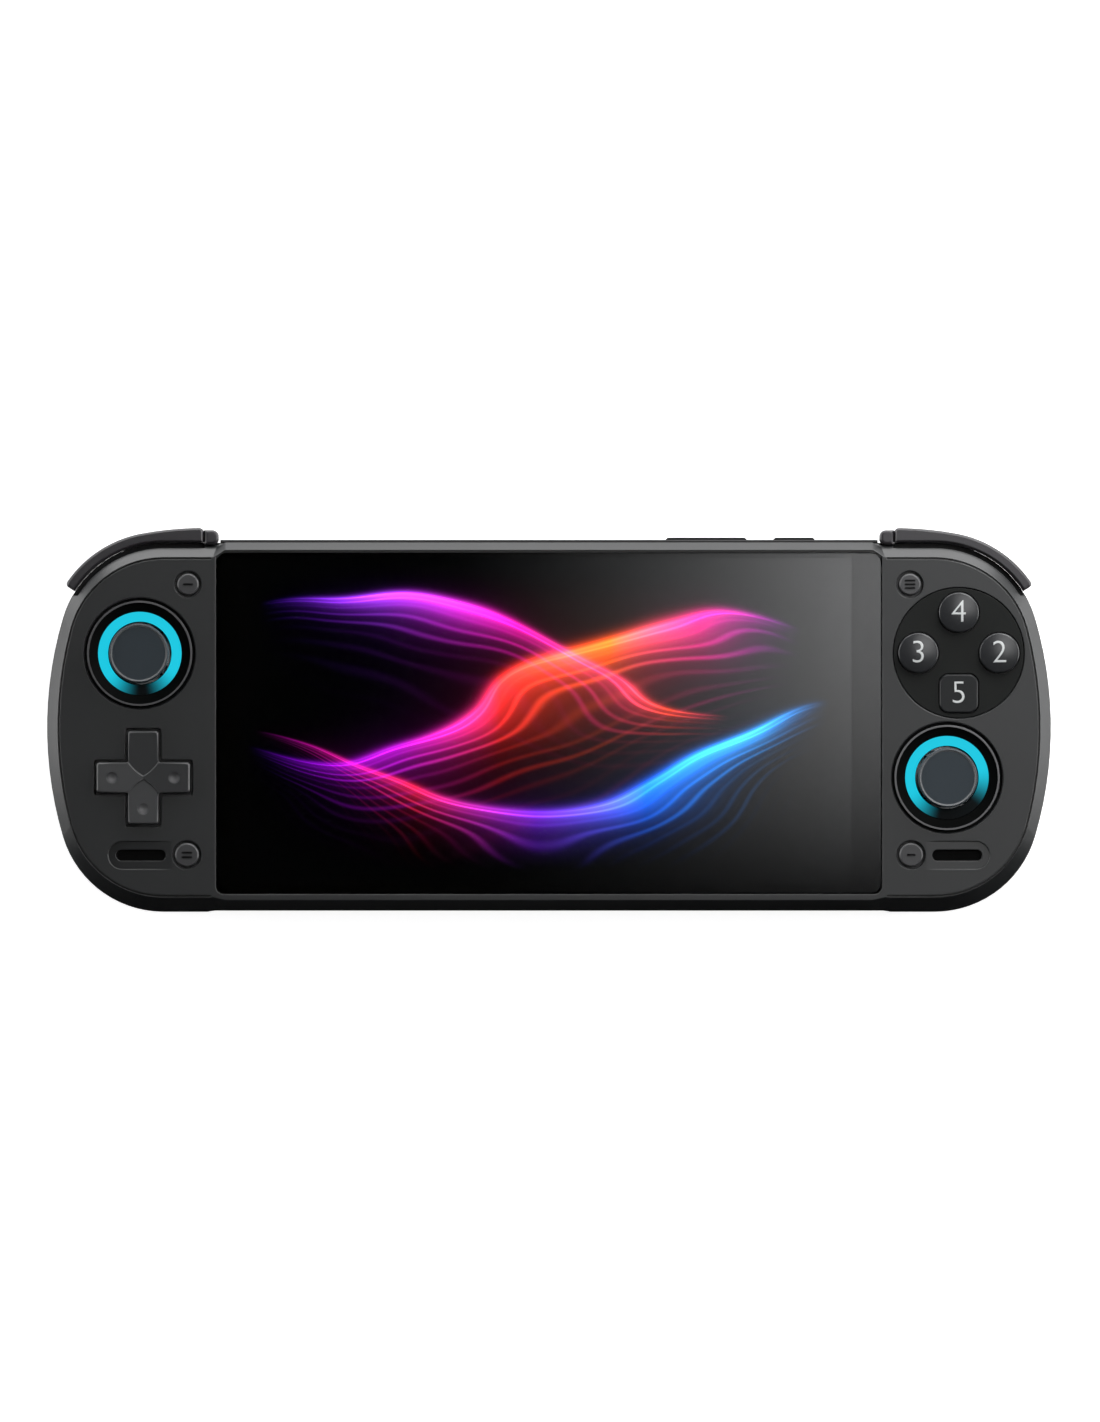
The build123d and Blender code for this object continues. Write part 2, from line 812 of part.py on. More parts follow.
def make_rear_screws():
    screws = []
    for x, y, seat in screw_places():
        shank = rod(x, y, screw_radius, seat - slip, screw_split_z + screw_grip - seat_gap)
        head = rod(x, y, screw_head_radius, seat - screw_head_thick, seat)
        socket = rod(x, y, screw_socket_radius, seat - screw_head_thick - slip,
                     seat - screw_head_thick + screw_socket_depth)
        screws.append(shank + head - socket)
    return Compound(screws)


def make_board_screws():
    screws = []
    for x, y in board_screw_places():
        shank = rod(x, y, board_screw_radius, board_high_z - board_screw_length + seat_gap, board_high_z)
        head = rod(x, y, board_screw_head, board_high_z, board_high_z + board_screw_head_thick)
        screws.append(shank + head)
    return Compound(screws)


def make_glass():
    return prism(glass_plan(), glass_z, front_z)


def make_panel():
    return rounded(0, glass_y, panel_length, panel_height, glass_ledge, glass_z - panel_thick, glass_z)


def make_disc_plate():
    plate_body = rod(disc_x, disc_y, disc_radius - disc_gap, front_z - disc_thick, front_z)
    return plate_body - face_button_holes()


def make_face_button(name):
    """A domed round button, or the flat rounded square at the bottom of the group."""
    share_x, share_y = button_share[name]
    x = disc_x + share_x * button_pitch
    y = disc_y + share_y * button_pitch
    if name == "bottom":
        side = flush_button_side
        top = front_z + flush_button_rise
        button = rounded(x, y, side, side, flush_button_corner, flange_low_z, top)
        button = chamfer(button.faces().sort_by(Axis.Z)[-1].edges(), button_gap)
        grown = flange_radius * 2 - seat_gap
        return button + rounded(x, y, grown, grown, flush_button_corner, flange_low_z, flange_high_z)
    crown = button_rise - button_edge_rise
    ball = (button_radius ** 2 + crown ** 2) / (2 * crown)
    top = front_z + button_rise
    button = rod(x, y, button_radius, flange_low_z, top) & Pos(x, y, top - ball) * Sphere(ball)
    rim = [e for e in button.edges().filter_by(GeomType.CIRCLE)
           if e.is_closed and e.center().Z > front_z]
    button = fillet(rim, button_blend)
    return button + rod(x, y, flange_radius, flange_low_z, flange_high_z)


def rubber_dome(x, y, low):
    return Pos(x, y, low + dome_height / 2) * Cone(dome_radius, dome_top_radius, dome_height)


def make_face_membrane():
    """Rubber sheet with one dome under each face button."""
    sheet = rod(disc_x, disc_y, membrane_radius, control_board_z, control_board_z + membrane_thick)
    for share_x, share_y in button_share.values():
        sheet += rubber_dome(disc_x + share_x * button_pitch, disc_y + share_y * button_pitch,
                             control_board_z + membrane_thick)
    return sheet


def upright_arms():
    """Outline of the upper arm, which runs to a pointed end just short of the middle."""
    side = dpad_arm / 2
    far = dpad_span / 2 + overrun
    bulge = dpad_tip_bulge / sqrt(2)
    tip = dpad_tip_gap
    arm = make_face([
        ThreePointArc((0, tip), (side / 2 + bulge, (side + tip) / 2 - bulge), (side, side)),
        Line((side, side), (side, far)),
        Line((side, far), (-side, far)),
        Line((-side, far), (-side, side)),
        ThreePointArc((-side, side), (-side / 2 - bulge, (side + tip) / 2 - bulge), (0, tip)),
    ])
    return prism(arm, dpad_flange_top, front_z + dpad_rise + overrun)


def arm_valley(dish):
    """The space above two opposite arms, which fall towards the middle."""
    top = front_z + dpad_rise
    half = dpad_span / 2
    valley = make_face(Polyline((-half, top), (0, top - dish), (half, top), (half, top + overrun),
                                (-half, top + overrun), close=True))
    return extrude(Plane.XZ * valley, amount=half, both=True)


def make_dpad():
    """One-piece direction pad: four arms that fall to the middle, over a round flange."""
    top = front_z + dpad_rise
    cross = prism(cross_outline(), dpad_flange_top, top)
    cross = chamfer(cross.faces().sort_by(Axis.Z)[-1].edges(), dpad_edge)
    arm = upright_arms()
    uprights = arm + Rot(0, 0, 180) * arm
    cross -= arm_valley(dpad_dish) - uprights
    cross -= Rot(0, 0, 90) * arm_valley(dpad_upright_dish) & uprights
    flange = rod(0, 0, dpad_flange_radius, dpad_flange_top - flange_thick, dpad_flange_top)
    pad = cross + flange
    ball = (dpad_dimple_radius ** 2 + dpad_dimple_depth ** 2) / (2 * dpad_dimple_depth)
    for name, (share_x, share_y) in button_share.items():
        if name != "top":
            dish = dpad_dish if share_x else dpad_upright_dish
            fall = dish * (1 - dpad_dimple_place / (dpad_span / 2))
            pad -= Pos(share_x * dpad_dimple_place, share_y * dpad_dimple_place,
                       top - fall - dpad_dimple_depth + ball) * Sphere(ball)
    pad -= rod(0, 0, dpad_rocker_radius + button_gap, dpad_flange_top - flange_thick - slip,
               dpad_flange_top)
    return Pos(-dpad_x, -dpad_y, 0) * pad


def make_dpad_rocker():
    """Pivot button that lets the pad tip over a central post."""
    low = dpad_pivot_z
    head = rod(0, 0, dpad_rocker_radius, dpad_flange_top - flange_thick - seat_gap,
               dpad_flange_top - seat_gap)
    neck = Pos(0, 0, low + dpad_ball_radius) * Sphere(dpad_ball_radius)
    neck += rod(0, 0, dpad_ball_radius, low + dpad_ball_radius, dpad_flange_top - flange_thick)
    return Pos(-dpad_x, -dpad_y, 0) * (head + neck)


def make_dpad_membrane():
    """Rubber sheet with four domes and a hole for the central post."""
    span = dpad_span + dome_radius
    sheet = rounded(0, 0, span, span, dome_radius, control_board_z, control_board_z + membrane_thick)
    for share_x, share_y in button_share.values():
        place = dpad_span / 2 - dome_radius
        sheet += rod(share_x * place, share_y * place, dome_top_radius, control_board_z,
                     dpad_pivot_z - seat_gap)
    sheet -= rod(0, 0, dpad_rocker_radius, parting_z - overrun, front_z)
    return Pos(-dpad_x, -dpad_y, 0) * sheet


def make_small_button(x, y, radius):
    button = rod(x, y, radius, flange_low_z, front_z + small_button_rise)
    button = chamfer(button.faces().sort_by(Axis.Z)[-1].edges(), small_button_rise)
    hole = upper_hole_radius if y > 0 else lower_hole_radius
    return button + rod(x, y, hole + small_flange, flange_low_z, flange_high_z)


def make_bezel(x, y):
    """Black dish round a stick, held under the housing by its flange."""
    flange = bezel_radius + bezel_flange
    rim_z = front_z - bezel_top_drop
    seat_z = bezel_floor_z + bezel_floor_thick
    light_z = front_z - light_drop
    return turned([
        (bezel_hole, bezel_floor_z), (flange, bezel_floor_z), (flange, inner_front_z - seat_gap),
        (bezel_radius, inner_front_z - seat_gap), (bezel_radius, rim_z),
        (bezel_radius - bezel_rim, rim_z), (light_outer + slip, light_z),
        (light_outer + slip, seat_z), (bezel_hole, seat_z),
    ], x, y)


def make_trim(x, y):
    """Thin bright ring on the edge of the dish."""
    low = front_z - bezel_top_drop
    inner = bezel_radius - bezel_rim + slip
    return ring(x, y, bezel_radius, inner, low, low + trim_height)


def make_light_ring(x, y):
    """Diffuser ring that glows round the stick."""
    low = bezel_floor_z + bezel_floor_thick
    return ring(x, y, light_outer, light_inner, low, front_z - light_drop)


def make_cap(x, y):
    """Dished thumb cap with a raised rim and a socket for the shaft."""
    side_z = cap_top_z - cap_edge
    turn = cap_edge * cap_edge_share
    outline = make_face([
        Line((0, cap_neck_z), (cap_neck_radius, cap_neck_z)),
        Line((cap_neck_radius, cap_neck_z), (cap_neck_radius, side_z - cap_side - cap_under)),
        ThreePointArc((cap_neck_radius, side_z - cap_side - cap_under),
                      ((cap_neck_radius + cap_radius) / 2, side_z - cap_side - cap_under / 2 - slip * 2),
                      (cap_radius, side_z - cap_side)),
        Line((cap_radius, side_z - cap_side), (cap_radius, side_z)),
        ThreePointArc((cap_radius, side_z), (cap_radius - turn, cap_top_z - turn),
                      (cap_radius - cap_edge, cap_top_z)),
        Line((cap_radius - cap_edge, cap_top_z), (cap_radius - cap_edge - cap_rim, cap_top_z - cap_dish)),
        Line((cap_radius - cap_edge - cap_rim, cap_top_z - cap_dish), (0, cap_top_z - cap_dish)),
        Line((0, cap_top_z - cap_dish), (0, cap_neck_z)),
    ])
    cap = Pos(x, y, 0) * revolve(Plane.XZ * outline, Axis.Z)
    return cap - rod(x, y, shaft_head_radius + shaft_slip / 2, parting_z, side_z - cap_side)


def make_shaft(x, y):
    """Stick shaft with the dome that closes the opening round it."""
    half_angle = radians(dust_dome_angle)
    inner_radius = dust_dome_radius - dust_dome_thick
    outer_end = (dust_dome_radius * sin(half_angle), stick_pivot_z + dust_dome_radius * cos(half_angle))
    inner_end = (inner_radius * sin(half_angle), stick_pivot_z + inner_radius * cos(half_angle))
    mid = half_angle / 2
    outline = make_face([
        ThreePointArc((0, stick_pivot_z + dust_dome_radius),
                      (dust_dome_radius * sin(mid), stick_pivot_z + dust_dome_radius * cos(mid)),
                      outer_end),
        Line(outer_end, inner_end),
        ThreePointArc(inner_end,
                      (inner_radius * sin(mid), stick_pivot_z + inner_radius * cos(mid)),
                      (0, stick_pivot_z + inner_radius)),
        Line((0, stick_pivot_z + inner_radius), (0, stick_pivot_z + dust_dome_radius)),
    ])
    dome = Pos(x, y, 0) * revolve(Plane.XZ * outline, Axis.Z)
    side_z = cap_top_z - cap_edge
    head = rod(x, y, shaft_head_radius, stick_pivot_z + inner_radius - slip, side_z - cap_side - slip)
    return dome + head + rod(x, y, shaft_radius, shaft_low_z, stick_pivot_z + inner_radius)


def make_cradle(x, y):
    """Inner block of the gimbal: it carries the shaft and turns on the Y trunnions."""
    half = cradle_height / 2
    block = brick(x - cradle_half, x + cradle_half, y - cradle_half, y + cradle_half,
                  stick_pivot_z - half, stick_pivot_z + half)
    reach = frame_outer_half - slip
    block += rod_along_y(x, stick_pivot_z, trunnion_radius, y - reach, y + reach)
    return block - rod(x, y, shaft_radius + shaft_slip, parting_z - cap_top_z, cap_top_z)


def make_gimbal(x, y):
    """Outer frame of the gimbal: it turns on the X trunnions in the module."""
    half = frame_height / 2
    low, high = stick_pivot_z - half, stick_pivot_z + half
    outer, inner = frame_outer_half, frame_inner_half
    frame = brick(x - outer, x + outer, y - outer, y + outer, low, high)
    frame -= brick(x - inner, x + inner, y - inner, y + inner, low - slip, high + slip)
    frame -= rod_along_y(x, stick_pivot_z, trunnion_radius + shaft_slip, y - outer - slip,
                         y + outer + slip)
    reach = module_half - slip
    for side in (-1, 1):
        stub = sorted((x + side * (inner + slip * 2), x + side * reach))
        frame += rod_along_x(y, stick_pivot_z, trunnion_radius, *stub)
    return frame


def make_stick_module(x, y):
    """Open-topped box of the stick, with bearing holes for the gimbal."""
    inner = module_half - module_wall
    box = brick(x - module_half, x + module_half, y - module_half, y + module_half,
                module_low_z, module_high_z)
    box -= brick(x - inner, x + inner, y - inner, y + inner, module_low_z + module_floor,
                 module_high_z + slip)
    return box - rod_along_x(y, stick_pivot_z, trunnion_radius + shaft_slip,
                             x - module_half - slip, x + module_half + slip)


def make_speaker(side):
    """Speaker unit with a raised frame round its cone."""
    high = inner_front_z - seat_gap
    box = rounded(side * speaker_x, -speaker_y, speaker_length, speaker_height, speaker_recess,
                  high - speaker_deep, high)
    cone = pill(side * speaker_x, -speaker_y, speaker_length - speaker_recess * 3,
                speaker_height - speaker_recess * 3, high - speaker_recess, high + slip)
    return box - cone


def make_bumper():
    """Right shoulder button: a curved bar that follows the corner."""
    tip, bend = radians(bumper_tip_angle), radians(bumper_bend_angle)
    mid = (tip + bend) / 2
    inner_mid = (tip + pi / 2) / 2
    outer_radius = corner_radius + bumper_thick

    def on_corner(radius, angle):
        return corner_x + radius * cos(angle), corner_y + radius * sin(angle)

    outline = make_face([
        Line((bumper_end_x, half_height), (corner_x, half_height)),
        ThreePointArc((corner_x, half_height), on_corner(corner_radius, inner_mid),
                      on_corner(corner_radius, tip)),
        Line(on_corner(corner_radius, tip), on_corner(outer_radius, tip)),
        ThreePointArc(on_corner(outer_radius, tip), on_corner(outer_radius, mid),
                      on_corner(outer_radius, bend)),
        ThreePointArc(on_corner(outer_radius, bend), (bumper_mid_x, bumper_mid_y),
                      (bumper_end_x, bumper_end_y)),
        Line((bumper_end_x, bumper_end_y), (bumper_end_x, half_height)),
    ])
    bar = prism(outline, bumper_low_z, bumper_high_z)
    ends = bar.edges().filter_by(Axis.Z)
    outer_ends = [e for e in ends if e.center().Y > half_height + bumper_thick or
                  e.center().X > corner_x + corner_radius * cos(tip) + slip]
    bar = fillet(outer_ends, bumper_round)
    bar = chamfer(bar.faces().sort_by(Axis.Z)[-1].edges(), bumper_round / 2)
    return bar - rod(bumper_pin_x, bumper_pin_y, bumper_pin_radius + bumper_bore_slip,
                     bumper_low_z - slip, bumper_high_z - bumper_round)


def make_bumper_pivot():
    """Fixed end block of the right shoulder button, with the tab and pin that it turns on."""
    block = brick(block_inner_x, block_outer_x, block_low_y, block_high_y, bumper_notch_low + slip,
                  bumper_high_z - slip)
    corner = [e for e in block.edges().filter_by(Axis.Z) if e.center().X < block_inner_x + slip]
    block = fillet(corner, block_round)
    block = fillet(block.faces().sort_by(Axis.Z)[-1].edges(), block_edge)
    tab = brick(block_inner_x + block_round, block_outer_x + block_tab_reach, half_height + slip,
                block_high_y, block_tab_low, bumper_notch_low + seat_gap)
    pin = rod(bumper_pin_x, bumper_pin_y, bumper_pin_radius, block_tab_low,
              bumper_high_z - bumper_round - slip * 2)
    return block + tab + pin


def make_trigger():
    """Right trigger: a curved hollow key on a barrel, open to the inside."""
    shell = prism(body_plan(-trigger_out), trigger_low_z, trigger_high_z)
    zone = brick(trigger_inner_x, trigger_outer_x, trigger_pivot_y, bumper_end_y, 0, parting_z)
    key = shell & zone
    rim = [e for e in key.edges().filter_by_position(Axis.Z, trigger_low_z - slip, trigger_low_z + slip)
           if e.center().Y > half_height - trigger_out and
           abs(e.center().X - (trigger_inner_x + trigger_outer_x) / 2)
           < (trigger_outer_x - trigger_inner_x) / 2 - slip]
    key = fillet(rim, trigger_round)
    hollow = prism(body_plan(trigger_skin - trigger_out), trigger_low_z + trigger_floor,
                   trigger_high_z - trigger_skin)
    hollow &= brick(trigger_inner_x + trigger_cheek, trigger_outer_x - trigger_cheek, 0,
                    bumper_end_y, 0, parting_z)
    lip = brick(trigger_inner_x - slip, trigger_outer_x + slip, 0, trigger_lip_y,
                0, trigger_pivot_z - trigger_barrel)
    key = key - hollow - lip
    key += rod_along_x(trigger_pivot_y, trigger_pivot_z, trigger_barrel, trigger_inner_x,
                       trigger_outer_x)
    return key - rod_along_x(trigger_pivot_y, trigger_pivot_z, trigger_pin_radius + trigger_slip,
                             trigger_inner_x - slip, trigger_outer_x + slip)


def make_trigger_pin():
    return rod_along_x(trigger_pivot_y, trigger_pivot_z, trigger_pin_radius,
                       trigger_inner_x - bay_side_gap - bay_wall,
                       trigger_outer_x + bay_side_gap + bay_wall - slip * 2)


def make_edge_button(start, end):
    """Key in the top edge, with ramped ends and a flange that keeps it in."""
    low_y = edge_button_seat_y - edge_button_flange
    ramp_y = edge_button_y - edge_button_ramp
    outline = Polyline((start, low_y), (end, low_y), (end, ramp_y), (end - edge_button_ramp, edge_button_y),
                       (start + edge_button_ramp, edge_button_y), (start, ramp_y), close=True)
    key = prism(make_face(outline), edge_button_low, edge_button_high)
    flange = brick(start - edge_button_flange, end + edge_button_flange, low_y, edge_button_seat_y,
                   edge_button_low, edge_button_high)
    return key + flange


def make_main_board():
    """Main board with its processor, memory and edge connectors."""
    outline = Polyline((board_left_x, board_low_y), (board_left_x, board_high_y),
                       (board_right_x, board_high_y), (board_right_x, board_leg_y),
                       (board_leg_x, board_leg_y), (board_leg_x, board_low_y), close=True)
    board = prism(make_face(outline), board_low_z, board_high_z)
    half = chip_side / 2
    board += brick(chip_x - half, chip_x + half, chip_y - half, chip_y + half, board_high_z,
                   board_high_z + chip_thick)
    memory_x = chip_x + half + memory_gap
    for row in (0, 1):
        low = chip_y - half + row * (memory_length + memory_gap / 2)
        board += brick(memory_x, memory_x + memory_width, low, low + memory_length, board_high_z,
                       board_high_z + memory_thick)
    for x, y in board_screw_places():
        board -= rod(x, y, board_screw_radius + screw_slip, board_low_z - slip, board_high_z + slip)
    return board


def make_battery():
    """Flat battery pack with a pinched seam round it."""
    length = battery_right_x - battery_left_x
    height = battery_high_y - battery_low_y
    x, y = (battery_left_x + battery_right_x) / 2, (battery_low_y + battery_high_y) / 2
    low = grip_depth + wall + seat_gap
    seam_z = (low + battery_high_z) / 2
    pack = rounded(x, y, length - battery_seam * 2, height - battery_seam * 2, battery_round, low,
                   battery_high_z)
    return pack + rounded(x, y, length, height, battery_round, seam_z - battery_seam / 2,
                          seam_z + battery_seam / 2)


def control_board(pad_low, pad_high, strip_start, strip_end, strip_low, strip_high, side):
    """Side board: a pad under the large controls and a strip to the small button."""
    pad = brick(left_strip_start, control_board_side, pad_low, pad_high, control_board_low_z,
                control_board_z)
    strip = brick(strip_start, strip_end, strip_low, strip_high, control_board_low_z,
                  control_board_z)
    limit = prism(body_plan(control_board_inset), 0, front_z)
    board = (pad + strip) & limit
    return board if side > 0 else mirror(board, about=Plane.YZ)


def make_left_board():
    board = control_board(-control_board_end_y, left_board_split_y, left_strip_start, left_strip_end,
                          left_board_split_y, half_height, -1)
    return board + rod(-dpad_x, -dpad_y, dpad_post_radius, control_board_z, dpad_pivot_z - slip)


def make_right_board():
    return control_board(right_board_split_y, control_board_end_y, right_strip_start, right_strip_end,
                         -control_board_end_y, right_board_split_y, 1)


def fan_centre():
    return (fan_left_x + fan_right_x) / 2, (fan_low_y + fan_high_y) / 2


def make_fan_housing():
    """Fan case with an inlet below, an outlet to the top edge and the rotor's pin."""
    x, y = fan_centre()
    box = rounded(x, y, fan_right_x - fan_left_x, fan_high_y - fan_low_y, wall, fan_low_z, fan_high_z)
    cavity = fan_rotor_radius + fan_rotor_gap
    box -= rod(x, y, cavity, fan_low_z + fan_wall, fan_high_z - fan_wall)
    box -= brick(x - cavity, x + cavity, y, fan_high_y + slip, fan_low_z + fan_wall,
                 fan_high_z - fan_wall)
    box -= rod(x, y, fan_inlet_radius, fan_low_z - slip, fan_low_z + fan_wall + slip)
    return box + rod(x, y, fan_pin_radius, fan_low_z + fan_wall, fan_high_z - fan_wall / 2)


def make_fan_rotor():
    """Bladed rotor on a hub, turning on the pin of the case."""
    x, y = fan_centre()
    low = fan_low_z + fan_wall + fan_end_gap
    high = fan_high_z - fan_wall - fan_end_gap
    rotor = rod(0, 0, fan_hub_radius, low, high)
    inner, outer = fan_hub_radius - fan_hub_wall, fan_rotor_radius
    blade = brick(inner, outer - slip, -fan_blade_thick / 2, fan_blade_thick / 2, low, high)
    blade = Pos(fan_hub_radius, 0, 0) * Rot(0, 0, fan_blade_sweep) * Pos(-fan_hub_radius, 0, 0) * blade
    for index in range(fan_blades):
        rotor += Rot(0, 0, index * 360 / fan_blades) * blade
    rotor &= rod(0, 0, fan_rotor_radius, low, high)
    return Pos(x, y, 0) * (rotor - rod(0, 0, fan_pin_radius + fan_pin_slip, low - slip, high + slip))


def make_heat_sink():
    """Copper plate on the processor, a flat pipe and the fins at the fan's outlet."""
    low = fan_low_z
    fin_y = fan_high_y + seat_gap
    base = brick(fan_left_x, fan_right_x, fin_y, fin_y + fin_depth, low, low + fin_base)
    pitch = (fan_right_x - fan_left_x - fin_thick) / (fin_count - 1)
    pipe_low = board_high_z + chip_thick + sink_plate_thick
    for index in range(fin_count):
        start = fan_left_x + index * pitch
        base += brick(start, start + fin_thick, fin_y, fin_y + fin_depth, low, pipe_low)
    half = chip_side / 2 + sink_plate_margin
    plate_low = board_high_z + chip_thick
    base += brick(chip_x - half, chip_x + half, chip_y - half, chip_y + half, plate_low,
                  plate_low + sink_plate_thick)
    run_y = fin_y + fin_depth - pipe_width
    base += brick(fan_left_x, chip_x + pipe_width / 2, run_y, run_y + pipe_width, pipe_low,
                  pipe_low + pipe_thick)
    base += brick(chip_x - pipe_width / 2, chip_x + pipe_width / 2, chip_y - half, run_y + pipe_width,
                  pipe_low, pipe_low + pipe_thick)
    return base


def make_usb_port():
    """Charging socket: a pill-shaped metal shell with a tongue."""
    z = board_high_z + usb_height / 2
    place = Pos(usb_x, -usb_face_y, z) * Rot(90, 0, 0)
    shell = place * extrude(SlotOverall(usb_width, usb_height), amount=-usb_deep)
    cavity = place * extrude(SlotOverall(usb_width - usb_shell * 2, usb_height - usb_shell * 2),
                             amount=-usb_deep + usb_shell * 2)
    tongue = brick(usb_x - usb_tongue_width / 2, usb_x + usb_tongue_width / 2, -usb_face_y + usb_tongue,
                   -usb_face_y + usb_deep - usb_shell, z - usb_tongue / 2, z + usb_tongue / 2)
    return shell - cavity + tongue


def make_headphone_jack():
    """Headphone socket with a round bore through its nose."""
    z = board_high_z + jack_height / 2
    nose_y = -jack_face_y + jack_nose
    body = brick(jack_x - jack_width / 2, jack_x + jack_width / 2, nose_y, -jack_face_y + jack_length,
                 board_high_z, board_high_z + jack_height)
    body += rod_along_y(jack_x, z, jack_nose_radius, -jack_face_y, nose_y + slip)
    return body - rod_along_y(jack_x, z, jack_bore, -jack_face_y - slip, -jack_face_y + jack_length + slip)


def make_card_slot():
    """Low metal cage that takes a memory card."""
    high = board_high_z + card_height
    cage = brick(card_x - card_width / 2, card_x + card_width / 2, -card_face_y,
                 -card_face_y + card_length, board_high_z, high)
    middle = board_high_z + card_height / 2
    return cage - brick(card_x - card_slot_width / 2, card_x + card_slot_width / 2, -card_face_y - slip,
                        -card_face_y + card_length - card_slot_height, middle - card_slot_height / 2,
                        middle + card_slot_height / 2)


def make_motor(side):
    return rod(side * motor_x, motor_y, motor_radius, wall + slip, wall + slip + motor_thick)


def write_parts():
    save(make_front_shell(), "front_shell")
    save(make_rear_shell(), "rear_shell")
    save(make_rear_screws(), "rear_screws")
    save(make_glass(), "display_glass")
    save(make_panel(), "display_panel")
    save(make_disc_plate(), "button_disc_plate")
    for name in button_share:
        save(make_face_button(name), "face_button_" + name)
    save(make_face_membrane(), "face_button_membrane")
    save(make_dpad(), "dpad")
    save(make_dpad_rocker(), "dpad_rocker")
    save(make_dpad_membrane(), "dpad_membrane")

    sides = (("left", -1), ("right", 1))
    sticks = (("left", left_stick_x, left_stick_y), ("right", right_stick_x, right_stick_y))
    makers = (("bezel", make_bezel), ("trim_ring", make_trim), ("light_ring", make_light_ring),
              ("cap", make_cap), ("shaft", make_shaft), ("cradle", make_cradle),
              ("gimbal", make_gimbal), ("module", make_stick_module))
    for name, x, y in sticks:
        for piece, make in makers:
            save(make(x, y), name + "_stick_" + piece)

    pairs = (("bumper", make_bumper()), ("bumper_pivot", make_bumper_pivot()),
             ("trigger", make_trigger()), ("trigger_pin", make_trigger_pin()))
    for name, side in sides:
        for piece, shape in pairs:
            save(shape if side > 0 else mirror(shape, about=Plane.YZ), name + "_" + piece)
        save(make_small_button(side * upper_button_x, upper_button_y, upper_button_radius),
             name + "_upper_button")
        save(make_small_button(side * lower_button_x, -lower_button_y, lower_button_radius),
             name + "_lower_button")
        save(make_speaker(side), name + "_speaker")
        save(make_motor(side), name + "_vibration_motor")
    save(make_left_board(), "left_control_board")
    save(make_right_board(), "right_control_board")

    save(make_edge_button(volume_start_x, volume_end_x), "volume_rocker")
    save(make_edge_button(power_start_x, power_end_x), "power_button")
    save(make_main_board(), "main_board")
    save(make_board_screws(), "board_screws")
    save(make_battery(), "battery")
    save(make_fan_housing(), "fan_housing")
    save(make_fan_rotor(), "fan_rotor")
    save(make_heat_sink(), "heat_sink")
    save(make_usb_port(), "usb_port")
    save(make_headphone_jack(), "headphone_jack")
    save(make_card_slot(), "card_slot")


write_parts()
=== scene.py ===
import math

import bpy
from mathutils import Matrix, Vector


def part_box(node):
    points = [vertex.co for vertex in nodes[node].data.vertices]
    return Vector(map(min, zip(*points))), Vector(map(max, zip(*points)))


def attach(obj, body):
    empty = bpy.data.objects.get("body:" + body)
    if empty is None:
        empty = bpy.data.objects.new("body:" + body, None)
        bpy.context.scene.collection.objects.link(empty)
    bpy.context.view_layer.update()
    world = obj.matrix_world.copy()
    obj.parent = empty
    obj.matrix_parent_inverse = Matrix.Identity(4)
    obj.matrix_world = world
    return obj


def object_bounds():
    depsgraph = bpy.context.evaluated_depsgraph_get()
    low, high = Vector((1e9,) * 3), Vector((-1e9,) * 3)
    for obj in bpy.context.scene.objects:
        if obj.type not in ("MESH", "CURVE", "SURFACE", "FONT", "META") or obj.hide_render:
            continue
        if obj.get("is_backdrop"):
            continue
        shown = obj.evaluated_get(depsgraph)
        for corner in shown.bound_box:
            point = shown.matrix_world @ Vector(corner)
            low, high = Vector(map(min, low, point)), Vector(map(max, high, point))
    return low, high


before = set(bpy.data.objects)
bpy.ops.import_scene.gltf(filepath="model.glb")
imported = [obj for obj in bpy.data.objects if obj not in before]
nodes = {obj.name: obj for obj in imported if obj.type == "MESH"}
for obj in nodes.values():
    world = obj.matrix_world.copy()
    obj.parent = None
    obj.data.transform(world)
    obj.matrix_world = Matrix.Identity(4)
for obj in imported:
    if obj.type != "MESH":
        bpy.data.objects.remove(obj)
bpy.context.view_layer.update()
bpy.ops.object.select_all(action="DESELECT")


# Housing. Two injection-moulded halves: the front half is a dark grey satin plastic with a fine
# spark-eroded grain, the rear half is the same plastic in black. Moulded edges are slightly soft.
def principled(name, colour, gloss=0.5, roughness=0.5):
    """A new material, with its node tree and its shader."""
    material = bpy.data.materials.new(name)
    material.use_nodes = True
    tree = material.node_tree
    shader = tree.nodes["Principled BSDF"]
    shader.inputs["Base Color"].default_value = (*colour, 1)
    shader.inputs["Specular IOR Level"].default_value = gloss
    shader.inputs["Roughness"].default_value = roughness
    return material, tree, shader


def feed(tree, socket, value):
    """Links a socket to another one, or sets it to a plain value."""
    if isinstance(value, bpy.types.NodeSocket):
        tree.links.new(value, socket)
    else:
        socket.default_value = value


def between(tree, value, low, high, to_low=0.0, to_high=1.0, way="LINEAR"):
    """A value mapped from one range to another, evenly or as a soft step."""
    span = tree.nodes.new("ShaderNodeMapRange")
    span.interpolation_type = way
    span.inputs["From Min"].default_value = low
    span.inputs["From Max"].default_value = high
    span.inputs["To Min"].default_value = to_low
    span.inputs["To Max"].default_value = to_high
    tree.links.new(value, span.inputs["Value"])
    return span.outputs["Result"]


def blended(tree, share, first, second):
    """A colour between two colours, by a share from nought to one."""
    blend = tree.nodes.new("ShaderNodeMix")
    blend.data_type = "RGBA"
    feed(tree, blend.inputs["Factor"], share)
    feed(tree, blend.inputs["A"], first)
    feed(tree, blend.inputs["B"], second)
    return blend.outputs["Result"]


def object_place(tree):
    """The place of a point in Object coordinates."""
    return tree.nodes.new("ShaderNodeTexCoord").outputs["Object"]


